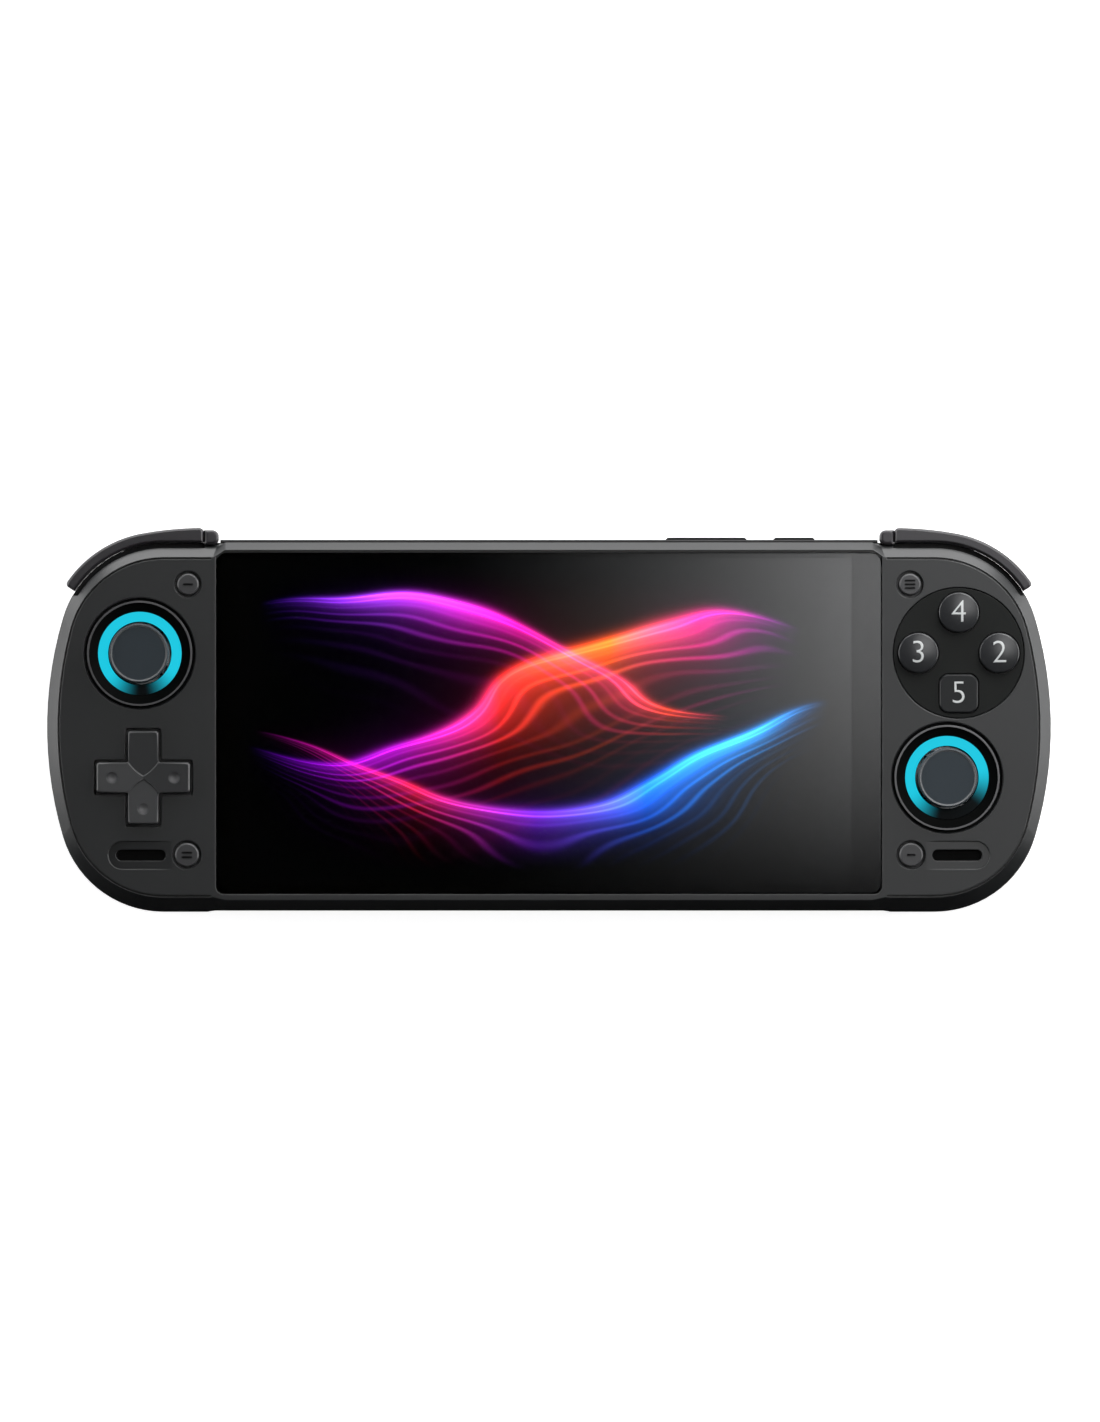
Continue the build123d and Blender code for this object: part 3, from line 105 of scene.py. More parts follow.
def clouds(tree, place, scale, detail=2.0, dimensions="3D"):
    """A noise of a given scale."""
    noise = tree.nodes.new("ShaderNodeTexNoise")
    noise.noise_dimensions = dimensions
    noise.inputs["Scale"].default_value = scale
    noise.inputs["Detail"].default_value = detail
    tree.links.new(place, noise.inputs["Vector"])
    return noise.outputs["Fac"]


def moulded(name, colour, roughness, grain=0.00045, relief=0.00002, edge=0.0002, gloss=0.5,
            gap_shade_reach=0.0, edge_highlight=0.0, metal=0.0):
    """A moulding: colour that drifts a little, fine grain, soft edges with a painted highlight, and
    painted shade in gaps.
    """
    drift = 0.12
    cloud_scale, cloud_detail = 45.0, 4.0
    ray_samples = 6
    unturned, fully_turned = 0.985, 0.93
    edge_highlight_tint = (1.0, 1.02, 1.04)
    closed, open_enough = 0.35, 0.8
    roughness_spread = 0.05
    bump_strength = 0.35

    material, tree, shader = principled(name, colour, gloss)
    shader.inputs["Metallic"].default_value = metal
    place = object_place(tree)
    darker, lighter = [[part * (1 + shift) for part in colour] + [1] for shift in (-drift, drift)]
    tint = blended(tree, clouds(tree, place, cloud_scale, cloud_detail), darker, lighter)

    soft = tree.nodes.new("ShaderNodeBevel")
    soft.samples = ray_samples
    soft.inputs["Radius"].default_value = edge
    # Painted highlight: the colour turns paler along edges, where the softened normal leaves the
    # true one.
    if edge_highlight:
        flat = tree.nodes.new("ShaderNodeNewGeometry")
        turned = tree.nodes.new("ShaderNodeVectorMath")
        turned.operation = "DOT_PRODUCT"
        tree.links.new(soft.outputs["Normal"], turned.inputs[0])
        tree.links.new(flat.outputs["Normal"], turned.inputs[1])
        highlight_share = between(tree, turned.outputs["Value"], unturned, fully_turned)
        tint = blended(tree, highlight_share, tint, [edge_highlight * part for part in edge_highlight_tint] + [1])
    # Painted shade: the colour turns black where ambient occlusion finds nearby surfaces, in gaps
    # and recesses.
    if gap_shade_reach:
        shade = tree.nodes.new("ShaderNodeAmbientOcclusion")
        shade.samples = ray_samples
        shade.inputs["Distance"].default_value = gap_shade_reach
        clear = between(tree, shade.outputs["AO"], closed, open_enough)
        tint = blended(tree, clear, (0, 0, 0, 1), tint)
    tree.links.new(tint, shader.inputs["Base Color"])

    grains = clouds(tree, place, 1 / grain)
    rough = between(tree, grains, 0.0, 1.0, roughness - roughness_spread,
                    roughness + roughness_spread)
    tree.links.new(rough, shader.inputs["Roughness"])
    bump = tree.nodes.new("ShaderNodeBump")
    bump.inputs["Strength"].default_value = bump_strength
    bump.inputs["Distance"].default_value = relief
    tree.links.new(grains, bump.inputs["Height"])
    tree.links.new(soft.outputs["Normal"], bump.inputs["Normal"])
    tree.links.new(bump.outputs["Normal"], shader.inputs["Normal"])
    return material


def finish(material, *names):
    """Gives a finish to CAD nodes."""
    for name in names:
        nodes[name].data.materials.clear()
        nodes[name].data.materials.append(material)


# The face gets a painted edge highlight and painted shade in its gaps.
face_plastic = moulded("face_plastic", (0.0175, 0.0185, 0.0195), 0.31, relief=0.000012,
                       edge=0.0003, gap_shade_reach=0.0008, edge_highlight=0.065)
rear_plastic = moulded("rear_plastic", (0.006, 0.006, 0.0065), 0.42, gloss=0.25)
finish(face_plastic, "front_shell")
finish(rear_plastic, "rear_shell", "volume_rocker", "power_button")


# Round group. A smooth black inlay in the right side of the face carries four buttons in a harder,
# satin dark grey plastic, the lowest one nearly flat. Their marks are plain printed numbers.
disc_plastic = moulded("disc_plastic", (0.0125, 0.0135, 0.013), 0.4, relief=0.000008, gloss=0.12)
# The round buttons get a painted edge highlight and painted shade in their gaps, the flat one only
# the painted highlight.
key_plastic = moulded("key_plastic", (0.022, 0.023, 0.025), 0.25, relief=0.000004, edge=0.0004,
                      gap_shade_reach=0.0007, edge_highlight=0.17)
flat_key_plastic = moulded("flat_key_plastic", (0.014, 0.015, 0.016), 0.34, relief=0.000004,
                           edge=0.0003, gloss=0.2, edge_highlight=0.045)
finish(disc_plastic, "button_disc_plate")
finish(key_plastic, "face_button_top", "face_button_left", "face_button_right")
finish(flat_key_plastic, "face_button_bottom")

mark_grey = moulded("mark_grey", (0.62, 0.64, 0.64), 0.4, relief=0.000004)
mark_height = 0.0086
mark_shrink = -0.0001
mark_proud = 0.00003
mark_thick = 0.00003
dome_radius = 0.00535
dome_drop = 0.0005
for digit, place in (("5", "bottom"), ("2", "right"), ("3", "left"), ("4", "top")):
    bpy.ops.object.text_add(location=(0, 0, 0))
    mark = bpy.context.object
    mark.name = "number_" + place
    mark.data.body = digit
    mark.data.size = mark_height
    mark.data.align_x = "CENTER"
    mark.data.align_y = "CENTER"
    mark.data.extrude = mark_thick
    mark.data.offset = mark_shrink
    mark.data.resolution_u = 6
    bpy.ops.object.convert(target="MESH")
    bpy.ops.object.mode_set(mode="EDIT")
    bpy.ops.mesh.select_all(action="SELECT")
    bpy.ops.mesh.remove_doubles(threshold=0.000001)
    bpy.ops.mesh.quads_convert_to_tris()
    bpy.ops.mesh.subdivide(number_cuts=2)
    bpy.ops.object.mode_set(mode="OBJECT")
    # The print follows the dome of its button.
    low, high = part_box("face_button_" + place)
    drop = dome_drop if place != "bottom" else 0.0
    for vertex in mark.data.vertices:
        reach = math.hypot(vertex.co.x, vertex.co.y) / dome_radius
        vertex.co.z += high.z + mark_proud - drop * reach * reach
        vertex.co.x += (low.x + high.x) / 2
        vertex.co.y += (low.y + high.y) / 2
    mark.data.materials.clear()
    mark.data.materials.append(mark_grey)
    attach(mark, "face_button_" + place + "_key")
    bpy.ops.object.select_all(action="DESELECT")


# Small keys and direction pad. Satin dark grey plastic like the round buttons, with a painted edge
# highlight and painted shade in the gaps. The small keys carry one, two or three printed bars, and
# the pad is one moulding with three dimples painted paler.
small_plastic = moulded("small_plastic", (0.045, 0.045, 0.048), 0.32, relief=0.000006, edge=0.0004,
                        gap_shade_reach=0.0007, edge_highlight=0.15)
dpad_plastic = moulded("dpad_plastic", (0.034, 0.035, 0.037), 0.34, relief=0.000006, edge=0.0004,
                       gap_shade_reach=0.0007, edge_highlight=0.13)
finish(small_plastic, "left_upper_button", "left_lower_button", "right_upper_button",
       "right_lower_button")
finish(dpad_plastic, "dpad")


def local(tree, place, centre, size=(1, 1, 1)):
    """A place measured from a centre, in units of a size."""
    mapping = tree.nodes.new("ShaderNodeMapping")
    mapping.vector_type = "TEXTURE"
    mapping.inputs["Location"].default_value = centre
    mapping.inputs["Scale"].default_value = size
    tree.links.new(place, mapping.inputs["Vector"])
    return mapping.outputs["Vector"]


# The dimples on three arms of the pad are painted paler.
low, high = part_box("dpad")
middle = (low + high) / 2
dimple_reach = 0.0082
dimple_size = (0.0016, 0.0018, 0.004)
dimple_palest = 0.6
pale = (0.12, 0.12, 0.1236, 1)
tree = dpad_plastic.node_tree
pad_colour = tree.nodes["Principled BSDF"].inputs["Base Color"]
for right, back in ((-1, 0), (1, 0), (0, -1)):
    ball = tree.nodes.new("ShaderNodeTexGradient")
    ball.gradient_type = "SPHERICAL"
    centre = (middle.x + right * dimple_reach, middle.y + back * dimple_reach, high.z)
    tree.links.new(local(tree, object_place(tree), centre, dimple_size), ball.inputs["Vector"])
    share = between(tree, ball.outputs["Fac"], 0.0, dimple_palest, way="SMOOTHSTEP")
    before = pad_colour.links[0].from_socket
    tree.links.new(blended(tree, share, before, pale), pad_colour)

key_mark_grey = moulded("key_mark_grey", (0.012, 0.012, 0.013), 0.5, relief=0.000004, gloss=0.3)
bar_width = 0.00045
bar_rounding = 0.45
bar_marks = {
    # length and rise of each bar
    "left_upper": ((0.0026, 0.0),),
    "right_upper": ((0.0028, 0.0010), (0.0028, 0.0), (0.0028, -0.0010)),
    "left_lower": ((0.0028, 0.0006), (0.0028, -0.0006)),
    "right_lower": ((0.0022, 0.0),),
}
for key, bars in bar_marks.items():
    low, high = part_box(key + "_button")
    for index, (length, rise) in enumerate(bars):
        centre = ((low.x + high.x) / 2, (low.y + high.y) / 2 + rise, high.z + mark_proud)
        bpy.ops.mesh.primitive_cube_add(size=1, location=centre,
                                        scale=(length, bar_width, mark_thick))
        bar = bpy.context.object
        bar.name = f"{key}_bar_{index}"
        bpy.ops.object.transform_apply(location=True, rotation=True, scale=True)
        # The bevel takes every edge, so a bar is rounded all over.
        bpy.ops.object.mode_set(mode="EDIT")
        bpy.ops.mesh.select_mode(type="EDGE")
        bpy.ops.mesh.bevel(offset=bar_width * bar_rounding, segments=4)
        bpy.ops.object.mode_set(mode="OBJECT")
        bar.data.materials.append(key_mark_grey)
        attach(bar, key + "_button_key")
        bpy.ops.object.select_all(action="DESELECT")


# Sticks. A soft-touch rubber cap with a painted rim highlight, on a black shaft, in a black dish.
# Round the shaft lies a frosted diffuser ring lit from below by small cyan lamps, with painted shade
# from the cap at its lower side.
cap_rubber = moulded("cap_rubber", (0.026, 0.036, 0.045), 0.5, grain=0.0003, edge=0.0005,
                     gloss=0.35, edge_highlight=0.28)
bezel_plastic = moulded("bezel_plastic", (0.002, 0.0025, 0.0025), 0.4, relief=0.000006, gloss=0.06)
trim_metal = moulded("trim_metal", (0.14, 0.14, 0.145), 0.34, relief=0.000004, edge=0.0001,
                     metal=0.9)


def axes(tree, place):
    """The X and Y of a place."""
    split = tree.nodes.new("ShaderNodeSeparateXYZ")
    tree.links.new(place, split.inputs["Vector"])
    return split.outputs["X"], split.outputs["Y"]


def number(tree, operation, *values):
    """One step of arithmetic on sockets and plain values."""
    step = tree.nodes.new("ShaderNodeMath")
    step.operation = operation
    for socket, value in zip(step.inputs, values):
        feed(tree, socket, value)
    return step.outputs["Value"]


def lit_ring(side, shade_at, full_shade_half, shade_fade_half):
    """Diffuser whose glow fades out about one angle, in degrees from +X, anticlockwise, as painted
    shade from the cap.
    """
    unlit = (0.001, 0.003, 0.004)
    glow = (0.011, 0.58, 0.76)
    material, tree, shader = principled(side + "_light_diffuser", unlit, gloss=0.1, roughness=0.4)
    low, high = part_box(side + "_stick_light_ring")
    centre = ((low.x + high.x) / 2, (low.y + high.y) / 2, 0)
    turn = tree.nodes.new("ShaderNodeVectorRotate")
    turn.rotation_type = "Z_AXIS"
    turn.inputs["Angle"].default_value = -math.radians(shade_at)
    tree.links.new(local(tree, object_place(tree), centre), turn.inputs["Vector"])
    from_dark, beside_dark = axes(tree, turn.outputs["Vector"])
    angle = number(tree, "ABSOLUTE", number(tree, "ARCTAN2", beside_dark, from_dark))
    # Painted shade: the glow is darkened towards black on the side where the cap shades the ring.
    fade = between(tree, angle, math.radians(full_shade_half), math.radians(shade_fade_half), way="SMOOTHSTEP")
    tree.links.new(blended(tree, fade, (0, 0, 0, 1), (*glow, 1)), shader.inputs["Emission Color"])
    shader.inputs["Emission Strength"].default_value = 1.0
    return material


for side, shade_at, full_shade_half, shade_fade_half in (("left", -86, 4, 62), ("right", -72, 28, 88)):
    finish(cap_rubber, side + "_stick_cap")
    finish(bezel_plastic, side + "_stick_bezel", side + "_stick_shaft")
    finish(trim_metal, side + "_stick_trim_ring")
    finish(lit_ring(side, shade_at, full_shade_half, shade_fade_half), side + "_stick_light_ring")


# Screen. A black panel under a sheet of toughened glass. The panel shows a plain flow of light:
# three bundles of thin bright strands in violet, red and blue on black.
cover_glass, tree, shader = principled("cover_glass", (0.96, 0.97, 0.98))
smear_scale = 25.0
smear_roughness = 0.012
shader.inputs["Transmission Weight"].default_value = 1.0
shader.inputs["IOR"].default_value = 1.1
smears = clouds(tree, object_place(tree), smear_scale)
tree.links.new(between(tree, smears, 0.0, 1.0, 0.0, smear_roughness), shader.inputs["Roughness"])
finish(cover_glass, "display_glass")

glass_low, glass_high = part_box("display_glass")
middle = (glass_low + glass_high) / 2
picture_half = (0.0807, 0.0431)
picture_shift = 0.001
picture_y = middle.y + picture_shift
wander_scale, wander_detail = 1.3, 1.0
panel, tree, shader = principled("screen_panel", (0.0008, 0.001, 0.0012))
place = object_place(tree)
scaled = local(tree, place, (0, picture_y, 0), (*picture_half, 1))
across, up = axes(tree, scaled)
wander = clouds(tree, scaled, wander_scale, wander_detail, "2D")
wander = number(tree, "SUBTRACT", wander, 0.5)


def do(operation, *values):
    """One step of arithmetic on the panel's picture."""
    return number(tree, operation, *values)


def faded(low, high, value):
    """A soft step from nought at one value to one at another."""
    return between(tree, value, low, high, way="SMOOTHSTEP")


def decay(below, above, fall_below, fall_above):
    """Light that is full on a line and dies away below and above it."""
    fall = do("MULTIPLY_ADD", below, -fall_below, do("MULTIPLY", above, -fall_above))
    return do("EXPONENT", fall)


def strands(rise, swing, waves, phase, slope, width, count, ends, hot, hot_length):
    """Brightness of a bundle of strands that hangs under a wavy line."""
    line_drift = 0.4
    wave = do("SINE", do("MULTIPLY_ADD", across, waves, phase))
    line = do("MULTIPLY_ADD", wave, swing, do("MULTIPLY_ADD", across, slope, rise))
    line = do("ADD", line, do("MULTIPLY", wander, line_drift))

    # Distance below the line, in units of the bundle's own width, which swells near the middle.
    swell_waves, swell_range, swell_middle = 2.4, 0.5, 0.62
    swell = do("COSINE", do("MULTIPLY_ADD", across, swell_waves, -hot))
    swell = do("MULTIPLY_ADD", swell, swell_range, swell_middle)
    offset = do("DIVIDE", do("SUBTRACT", line, up), do("MULTIPLY", swell, width))
    below = do("MAXIMUM", offset, 0.0)
    above = do("MAXIMUM", do("MULTIPLY", offset, -1.0), 0.0)

    # Threads of unequal brightness in a faint veil.
    comb_start, comb_power = 0.02, 0.7
    thread_drift, group_drift, group_share = 11.0, 5.0, 0.31
    group_range, group_middle = 0.42, 0.58
    thread_sharpness, thread_light, veil_light = 4.0, 1.6, 0.07
    veil_fall = (3.0, 24.0)
    combed = do("POWER", do("ADD", below, comb_start), comb_power)
    threads = do("SINE", do("MULTIPLY_ADD", combed, count, do("MULTIPLY", wander, thread_drift)))
    threads = do("POWER", do("MULTIPLY_ADD", threads, 0.5, 0.5), thread_sharpness)
    groups = do("MULTIPLY_ADD", combed, count * group_share, do("MULTIPLY", wander, group_drift))
    groups = do("MULTIPLY_ADD", do("SINE", groups), group_range, group_middle)
    threads = do("MULTIPLY", threads, groups)
    light = do("MULTIPLY_ADD", threads, thread_light, veil_light)
    light = do("MULTIPLY", light, decay(below, above, *veil_fall))

    # The bright core on the line, brightest at the hot place, and a weak halo.
    hot_light, core_light = 2.2, 0.75
    core_fall = (6.5, 26.0)
    halo_fall, halo_light = 2.6, 0.014
    nearness = do("DIVIDE", do("SUBTRACT", across, hot), hot_length)
    nearness = do("EXPONENT", do("MULTIPLY", do("MULTIPLY", nearness, nearness), -1.0))
    core = do("MULTIPLY_ADD", nearness, hot_light, core_light)
    light = do("ADD", light, do("MULTIPLY", core, decay(below, above, *core_fall)))
    halo = do("EXPONENT", do("MULTIPLY", do("ABSOLUTE", offset), -halo_fall))
    light = do("ADD", light, do("MULTIPLY", halo, halo_light))

    # Everything dies away towards the bundle's ends and the picture's upper and lower edges.
    left_fade, right_fade = 0.5, 0.35
    low_edge, high_edge = (-0.94, -0.5), (0.98, 0.7)
    for step in (faded(ends[0], ends[0] + left_fade, across),
                 faded(ends[1], ends[1] - right_fade, across),
                 faded(*low_edge, up), faded(*high_edge, up)):
        light = do("MULTIPLY", light, step)
    return light


def vector_step(operation):
    """A node for arithmetic on colours."""
    step = tree.nodes.new("ShaderNodeVectorMath")
    step.operation = operation
    return step


bundle_light = 1.6
bundles = (
    # rise, swing, waves, phase, slope, width, strand count, ends, hot place, hot length; colours
    ((0.16, 0.40, 2.5, 0.4, 0.10, 0.50, 44.0, (-1.0, 0.84), 0.12, 0.40),
     ((0.0, (0.16, 0.0, 0.80)), (0.25, (0.50, 0.01, 0.62)), (0.42, (1.0, 0.03, 0.03)),
      (0.60, (1.0, 0.10, 0.01)), (0.75, (0.85, 0.02, 0.25)), (1.0, (0.12, 0.02, 0.85)))),
    ((-0.30, -0.30, 3.0, 1.6, 0.14, 0.42, 38.0, (-0.98, 0.93), 0.50, 0.32),
     ((0.0, (0.5, 0.0, 0.55)), (0.28, (0.9, 0.02, 0.08)), (0.48, (0.22, 0.03, 0.9)),
      (0.66, (0.01, 0.14, 1.0)), (0.85, (0.03, 0.34, 1.0)), (1.0, (0.03, 0.3, 1.0)))),
    ((0.42, 0.20, 3.3, 3.0, -0.30, 0.32, 30.0, (-0.96, 0.60), -0.42, 0.30),
     ((0.0, (0.08, 0.01, 0.8)), (0.22, (0.38, 0.04, 0.9)), (0.45, (0.8, 0.01, 0.35)),
      (0.7, (1.0, 0.06, 0.02)), (1.0, (0.5, 0.01, 0.4)))),
)
picture_light = None
for shape, stops in bundles:
    colours = tree.nodes.new("ShaderNodeValToRGB")
    ramp = colours.color_ramp.elements
    ramp.remove(ramp[0])
    ramp[0].position = stops[0][0]
    ramp[0].color = (*stops[0][1], 1)
    for position, colour in stops[1:]:
        ramp.new(position).color = (*colour, 1)
    tree.links.new(do("MULTIPLY_ADD", across, 0.5, 0.5), colours.inputs["Fac"])
    layer = vector_step("SCALE")
    tree.links.new(colours.outputs["Color"], layer.inputs["Vector"])
    tree.links.new(do("MULTIPLY", strands(*shape), bundle_light), layer.inputs["Scale"])
    if picture_light is None:
        picture_light = layer.outputs["Vector"]
    else:
        total = vector_step("ADD")
        tree.links.new(picture_light, total.inputs[0])
        tree.links.new(layer.outputs["Vector"], total.inputs[1])
        picture_light = total.outputs["Vector"]
tree.links.new(picture_light, shader.inputs["Emission Color"])
shader.inputs["Emission Strength"].default_value = 1.0
streak_scale = 9.0
streak_roughness, least_roughness = 0.02, 0.04
streaks = do("MULTIPLY_ADD", clouds(tree, place, streak_scale), streak_roughness, least_roughness)
tree.links.new(streaks, shader.inputs["Roughness"])
finish(panel, "display_panel")

# The black print on the back of the glass is a frame round the lit picture: a plane's edges are
# drawn out to the edges of the glass, its middle is deleted and its outer corners are rounded.
print_black = moulded("print_black", (0.001, 0.001, 0.001), 0.06, relief=0.0, gloss=0.4)
print_inset = 0.0002
print_lift = 0.00002
print_corner = 0.0027
bpy.ops.mesh.primitive_plane_add(size=2, location=(0, 0, 0))
border = bpy.context.object
border.name = "screen_border"
bpy.ops.transform.resize(value=(*picture_half, 1))
bpy.ops.transform.translate(value=(0, picture_y, glass_low.z + print_lift))
bpy.ops.object.transform_apply(location=True, rotation=True, scale=True)
bpy.ops.object.mode_set(mode="EDIT")
bpy.ops.mesh.select_mode(type="EDGE")
bpy.ops.mesh.select_all(action="SELECT")
bpy.ops.mesh.extrude_edges_move()
bpy.ops.transform.resize(
    value=((glass_high.x - print_inset) / picture_half[0],
           ((glass_high.y - glass_low.y) / 2 - print_inset) / picture_half[1], 1),
    center_override=(0, picture_y, glass_low.z))
bpy.ops.transform.translate(value=(0, middle.y - picture_y, 0))
bpy.ops.object.mode_set(mode="OBJECT")
for face in border.data.polygons:
    face.select = len(face.vertices) == 4 and all(
        abs(border.data.vertices[v].co.x) < picture_half[0] + print_inset for v in face.vertices)
bpy.ops.object.mode_set(mode="EDIT")
bpy.ops.mesh.select_mode(type="FACE")
bpy.ops.mesh.delete(type="FACE")
bpy.ops.mesh.select_mode(type="VERT")
bpy.ops.object.mode_set(mode="OBJECT")
for vertex in border.data.vertices:
    vertex.select = abs(vertex.co.x) > picture_half[0] + print_inset
bpy.ops.object.mode_set(mode="EDIT")
bpy.ops.mesh.bevel(offset=print_corner, segments=4, affect="VERTICES")
bpy.ops.mesh.select_all(action="SELECT")
bpy.ops.mesh.extrude_region_move(TRANSFORM_OT_translate={"value": (0, 0, print_lift)})
bpy.ops.mesh.select_all(action="SELECT")
bpy.ops.mesh.normals_make_consistent(inside=False)
bpy.ops.object.mode_set(mode="OBJECT")
border.data.materials.append(print_black)
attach(border, "housing")
bpy.ops.object.select_all(action="DESELECT")

# The lit layer of the panel, bonded to the back of the glass.
bpy.ops.mesh.primitive_plane_add(size=2, location=(0, 0, 0))
picture = bpy.context.object
picture.name = "screen_picture"
bpy.ops.object.mode_set(mode="EDIT")
bpy.ops.transform.resize(value=(picture_half[0] + print_inset, picture_half[1] + print_inset, 1))
bpy.ops.transform.translate(value=(0, picture_y, glass_low.z + print_lift / 4))
bpy.ops.mesh.extrude_region_move(TRANSFORM_OT_translate={"value": (0, 0, print_lift / 2)})
bpy.ops.mesh.select_all(action="SELECT")
bpy.ops.mesh.normals_make_consistent(inside=False)
bpy.ops.object.mode_set(mode="OBJECT")
picture.data.materials.append(panel)
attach(picture, "housing")
bpy.ops.object.select_all(action="DESELECT")


# Shoulder buttons and triggers. Satin dark grey mouldings with a painted edge highlight. The
# shoulder buttons turn on their end blocks, and the triggers hang on steel pins behind them.
shoulder_plastic = moulded("shoulder_plastic", (0.03, 0.028, 0.032), 0.34, relief=0.00001,
                           edge=0.0003, edge_highlight=0.06)
for side in ("left", "right"):
    finish(shoulder_plastic, side + "_bumper", side + "_bumper_pivot", side + "_trigger")


# Inner pieces. Metal cages and screws, green circuit boards, black mouldings, grey silicone and the
# copper heat sink: plain factory finishes, mostly hidden in the housing.
steel = moulded("steel", (0.4, 0.4, 0.41), 0.35, relief=0.000005, metal=1.0)
circuit = moulded("circuit", (0.008, 0.06, 0.03), 0.4)
inner_black = moulded("inner_black", (0.005, 0.005, 0.005), 0.55, gloss=0.1)
silicone = moulded("silicone", (0.2, 0.2, 0.2), 0.6)
copper = moulded("copper", (0.7, 0.33, 0.2), 0.35, metal=1.0)
finish(circuit, "left_control_board", "right_control_board", "main_board")
finish(silicone, "face_button_membrane", "dpad_membrane")
finish(copper, "heat_sink")
finish(inner_black, "battery", "fan_housing", "fan_rotor", "headphone_jack", "dpad_rocker")
finish(steel, "rear_screws", "board_screws", "usb_port", "card_slot")
for side in ("left", "right"):
    finish(inner_black, side + "_stick_gimbal", side + "_stick_cradle", side + "_speaker")
    finish(steel, side + "_stick_module", side + "_vibration_motor", side + "_trigger_pin")


# Studio. A white floor and a white horizon under a wide dark ceiling with a soft graded panel to the
# upper right. Strips of light lie low round the top and the ends, a small lamp hangs to the upper
# right, and a dark card stands low in front of the bottom edge.
def ray_share(tree, *kinds):
    """One for any of the named kinds of ray, otherwise nought."""
    rays = tree.nodes.new("ShaderNodeLightPath")
    share = rays.outputs[kinds[0]]
    for kind in kinds[1:]:
        share = number(tree, "MAXIMUM", share, rays.outputs[kind])
    return share


seen_kinds = ("Is Camera Ray", "Is Glossy Ray", "Is Transmission Ray")
floor_size = 12.0
floor_glow = 0.88
bpy.ops.mesh.primitive_plane_add(size=floor_size, location=(0, 0, 0))
floor = bpy.context.object
floor.name = "floor"
paper, tree, shader = principled("paper", (0.85, 0.85, 0.85), gloss=0.0, roughness=0.9)
shader.inputs["Emission Color"].default_value = (1, 1, 1, 1)
tree.links.new(between(tree, ray_share(tree, *seen_kinds), 0, 1, 0, floor_glow),
               shader.inputs["Emission Strength"])
floor.data.materials.append(paper)
floor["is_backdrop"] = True

room_light = 0.08
room_seen = 1.0
world = bpy.data.worlds.new("room")
world.use_nodes = True
tree = world.node_tree
room = tree.nodes["Background"]
room.inputs["Color"].default_value = (1, 1, 1, 1)
tree.links.new(between(tree, ray_share(tree, *seen_kinds), 0, 1, room_light, room_seen),
               room.inputs["Strength"])
bpy.context.scene.world = world

ceiling_height = 3.35
panel_left, panel_right, panel_curve = -0.06, 0.175, 2.25
panel_front, panel_back, panel_fill = -0.1, 0.105, 1.6
panel_dim, panel_end = 1.0, 1.4
panel_light = 4.1
bpy.ops.mesh.primitive_plane_add(size=floor_size, location=(0, 0, ceiling_height))
ceiling = bpy.context.object
ceiling.name = "ceiling"
graded, tree, shader = principled("graded_ceiling", (0.01, 0.01, 0.01), gloss=0.0)
east, north = axes(tree, object_place(tree))
rightward = number(tree, "POWER", between(tree, east, panel_left, panel_right), panel_curve)
low_share = between(tree, north, panel_front, panel_back, 1.0, 0.0)
upward = number(tree, "SUBTRACT", 1.0, number(tree, "POWER", low_share, panel_fill))
near_side = number(tree, "MULTIPLY", between(tree, east, panel_end, panel_dim),
                   between(tree, north, panel_end, panel_dim))
level = number(tree, "MULTIPLY", number(tree, "MULTIPLY", rightward, upward),
               number(tree, "MULTIPLY", near_side, panel_light))
shader.inputs["Emission Color"].default_value = (1, 1, 1, 1)
tree.links.new(level, shader.inputs["Emission Strength"])
graded.cycles.emission_sampling = "NONE"
ceiling.data.materials.append(graded)
ceiling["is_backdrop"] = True

# The dark card: it lies on the floor, turns up at its front edge, and only glossy rays meet it.
card_half = (2.2, 0.3)
card_y = -0.36
card_lift = 0.001
card_height = 0.8
bpy.ops.mesh.primitive_plane_add(size=2, location=(0, 0, 0))
flag = bpy.context.object
flag.name = "dark_card"
bpy.ops.transform.resize(value=(*card_half, 1))
bpy.ops.transform.translate(value=(0, card_y, card_lift))
bpy.ops.object.transform_apply(location=True, rotation=True, scale=True)
bpy.ops.object.mode_set(mode="EDIT")
bpy.ops.mesh.select_mode(type="EDGE")
bpy.ops.mesh.select_all(action="DESELECT")
bpy.ops.object.mode_set(mode="OBJECT")
for edge in flag.data.edges:
    edge.select = all(flag.data.vertices[v].co.y < card_y for v in edge.vertices)
bpy.ops.object.mode_set(mode="EDIT")
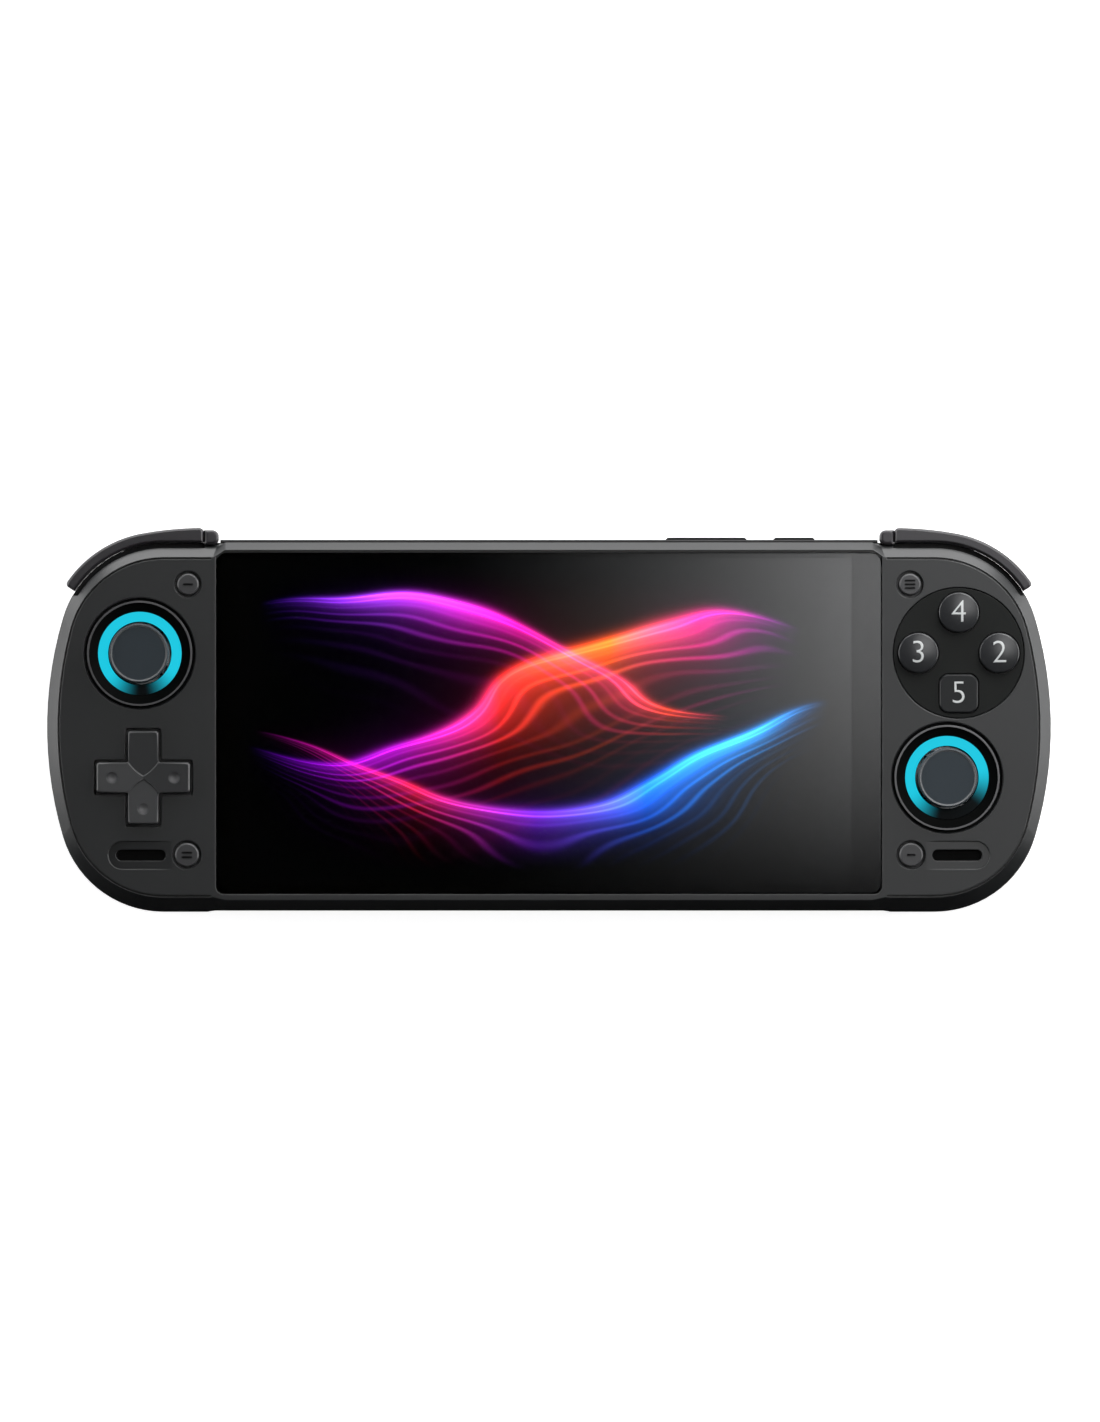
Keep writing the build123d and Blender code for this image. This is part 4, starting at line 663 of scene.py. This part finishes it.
bpy.ops.mesh.extrude_edges_move(TRANSFORM_OT_translate={"value": (0, 0, card_height)})
bpy.ops.object.mode_set(mode="OBJECT")
felt, tree, shader = principled("felt", (0.004, 0.004, 0.004), gloss=0.0)
clear = tree.nodes.new("ShaderNodeBsdfTransparent")
either = tree.nodes.new("ShaderNodeMixShader")
tree.links.new(ray_share(tree, "Is Glossy Ray"), either.inputs[0])
tree.links.new(clear.outputs["BSDF"], either.inputs[1])
tree.links.new(shader.outputs["BSDF"], either.inputs[2])
tree.links.new(either.outputs["Shader"], tree.nodes["Material Output"].inputs["Surface"])
flag.data.materials.append(felt)
flag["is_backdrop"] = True


def soft_box(name, place, target, width, height, power):
    """A rectangular area lamp that faces a point."""
    lamp = bpy.data.lights.new(name, "AREA")
    lamp.shape = "RECTANGLE"
    lamp.size, lamp.size_y, lamp.energy = width, height, power
    holder = bpy.data.objects.new(name, lamp)
    bpy.context.scene.collection.objects.link(holder)
    holder.location = place
    away = holder.location - Vector(target)
    holder.rotation_euler = away.to_track_quat("Z", "Y").to_euler()


soft_box("key_box", (0.21, 0.19, 0.18), (0.11, 0.02, 0), width=0.14, height=0.14, power=0.5)
soft_box("top_strip", (0, 1.3, 0.33), (0, 0, 0), width=2.2, height=0.6, power=21.5)
soft_box("right_strip", (1.3, 0.15, 0.24), (0, 0, 0), width=1.0, height=0.5, power=10.4)
soft_box("left_strip", (-1.3, 0.25, 0.22), (0, 0, 0), width=1.0, height=0.5, power=10.2)

# The camera looks straight down on the console through a very long lens, as in a catalogue picture.
pixel = 0.000267
image_height = 1422
camera_place = (pixel, 0.0024)
camera_height = 3.0
face_height = 0.016
sensor = 36.0
camera_data = bpy.data.cameras.new("camera")
camera_data.sensor_width = sensor
camera_data.lens = sensor * camera_height / (pixel * image_height)
camera = bpy.data.objects.new("camera", camera_data)
bpy.context.scene.collection.objects.link(camera)
camera.location = (*camera_place, camera_height + face_height)
bpy.context.scene.camera = camera
bpy.context.scene.view_settings.view_transform = "Standard"
bpy.ops.object.select_all(action="DESELECT")

low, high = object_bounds()
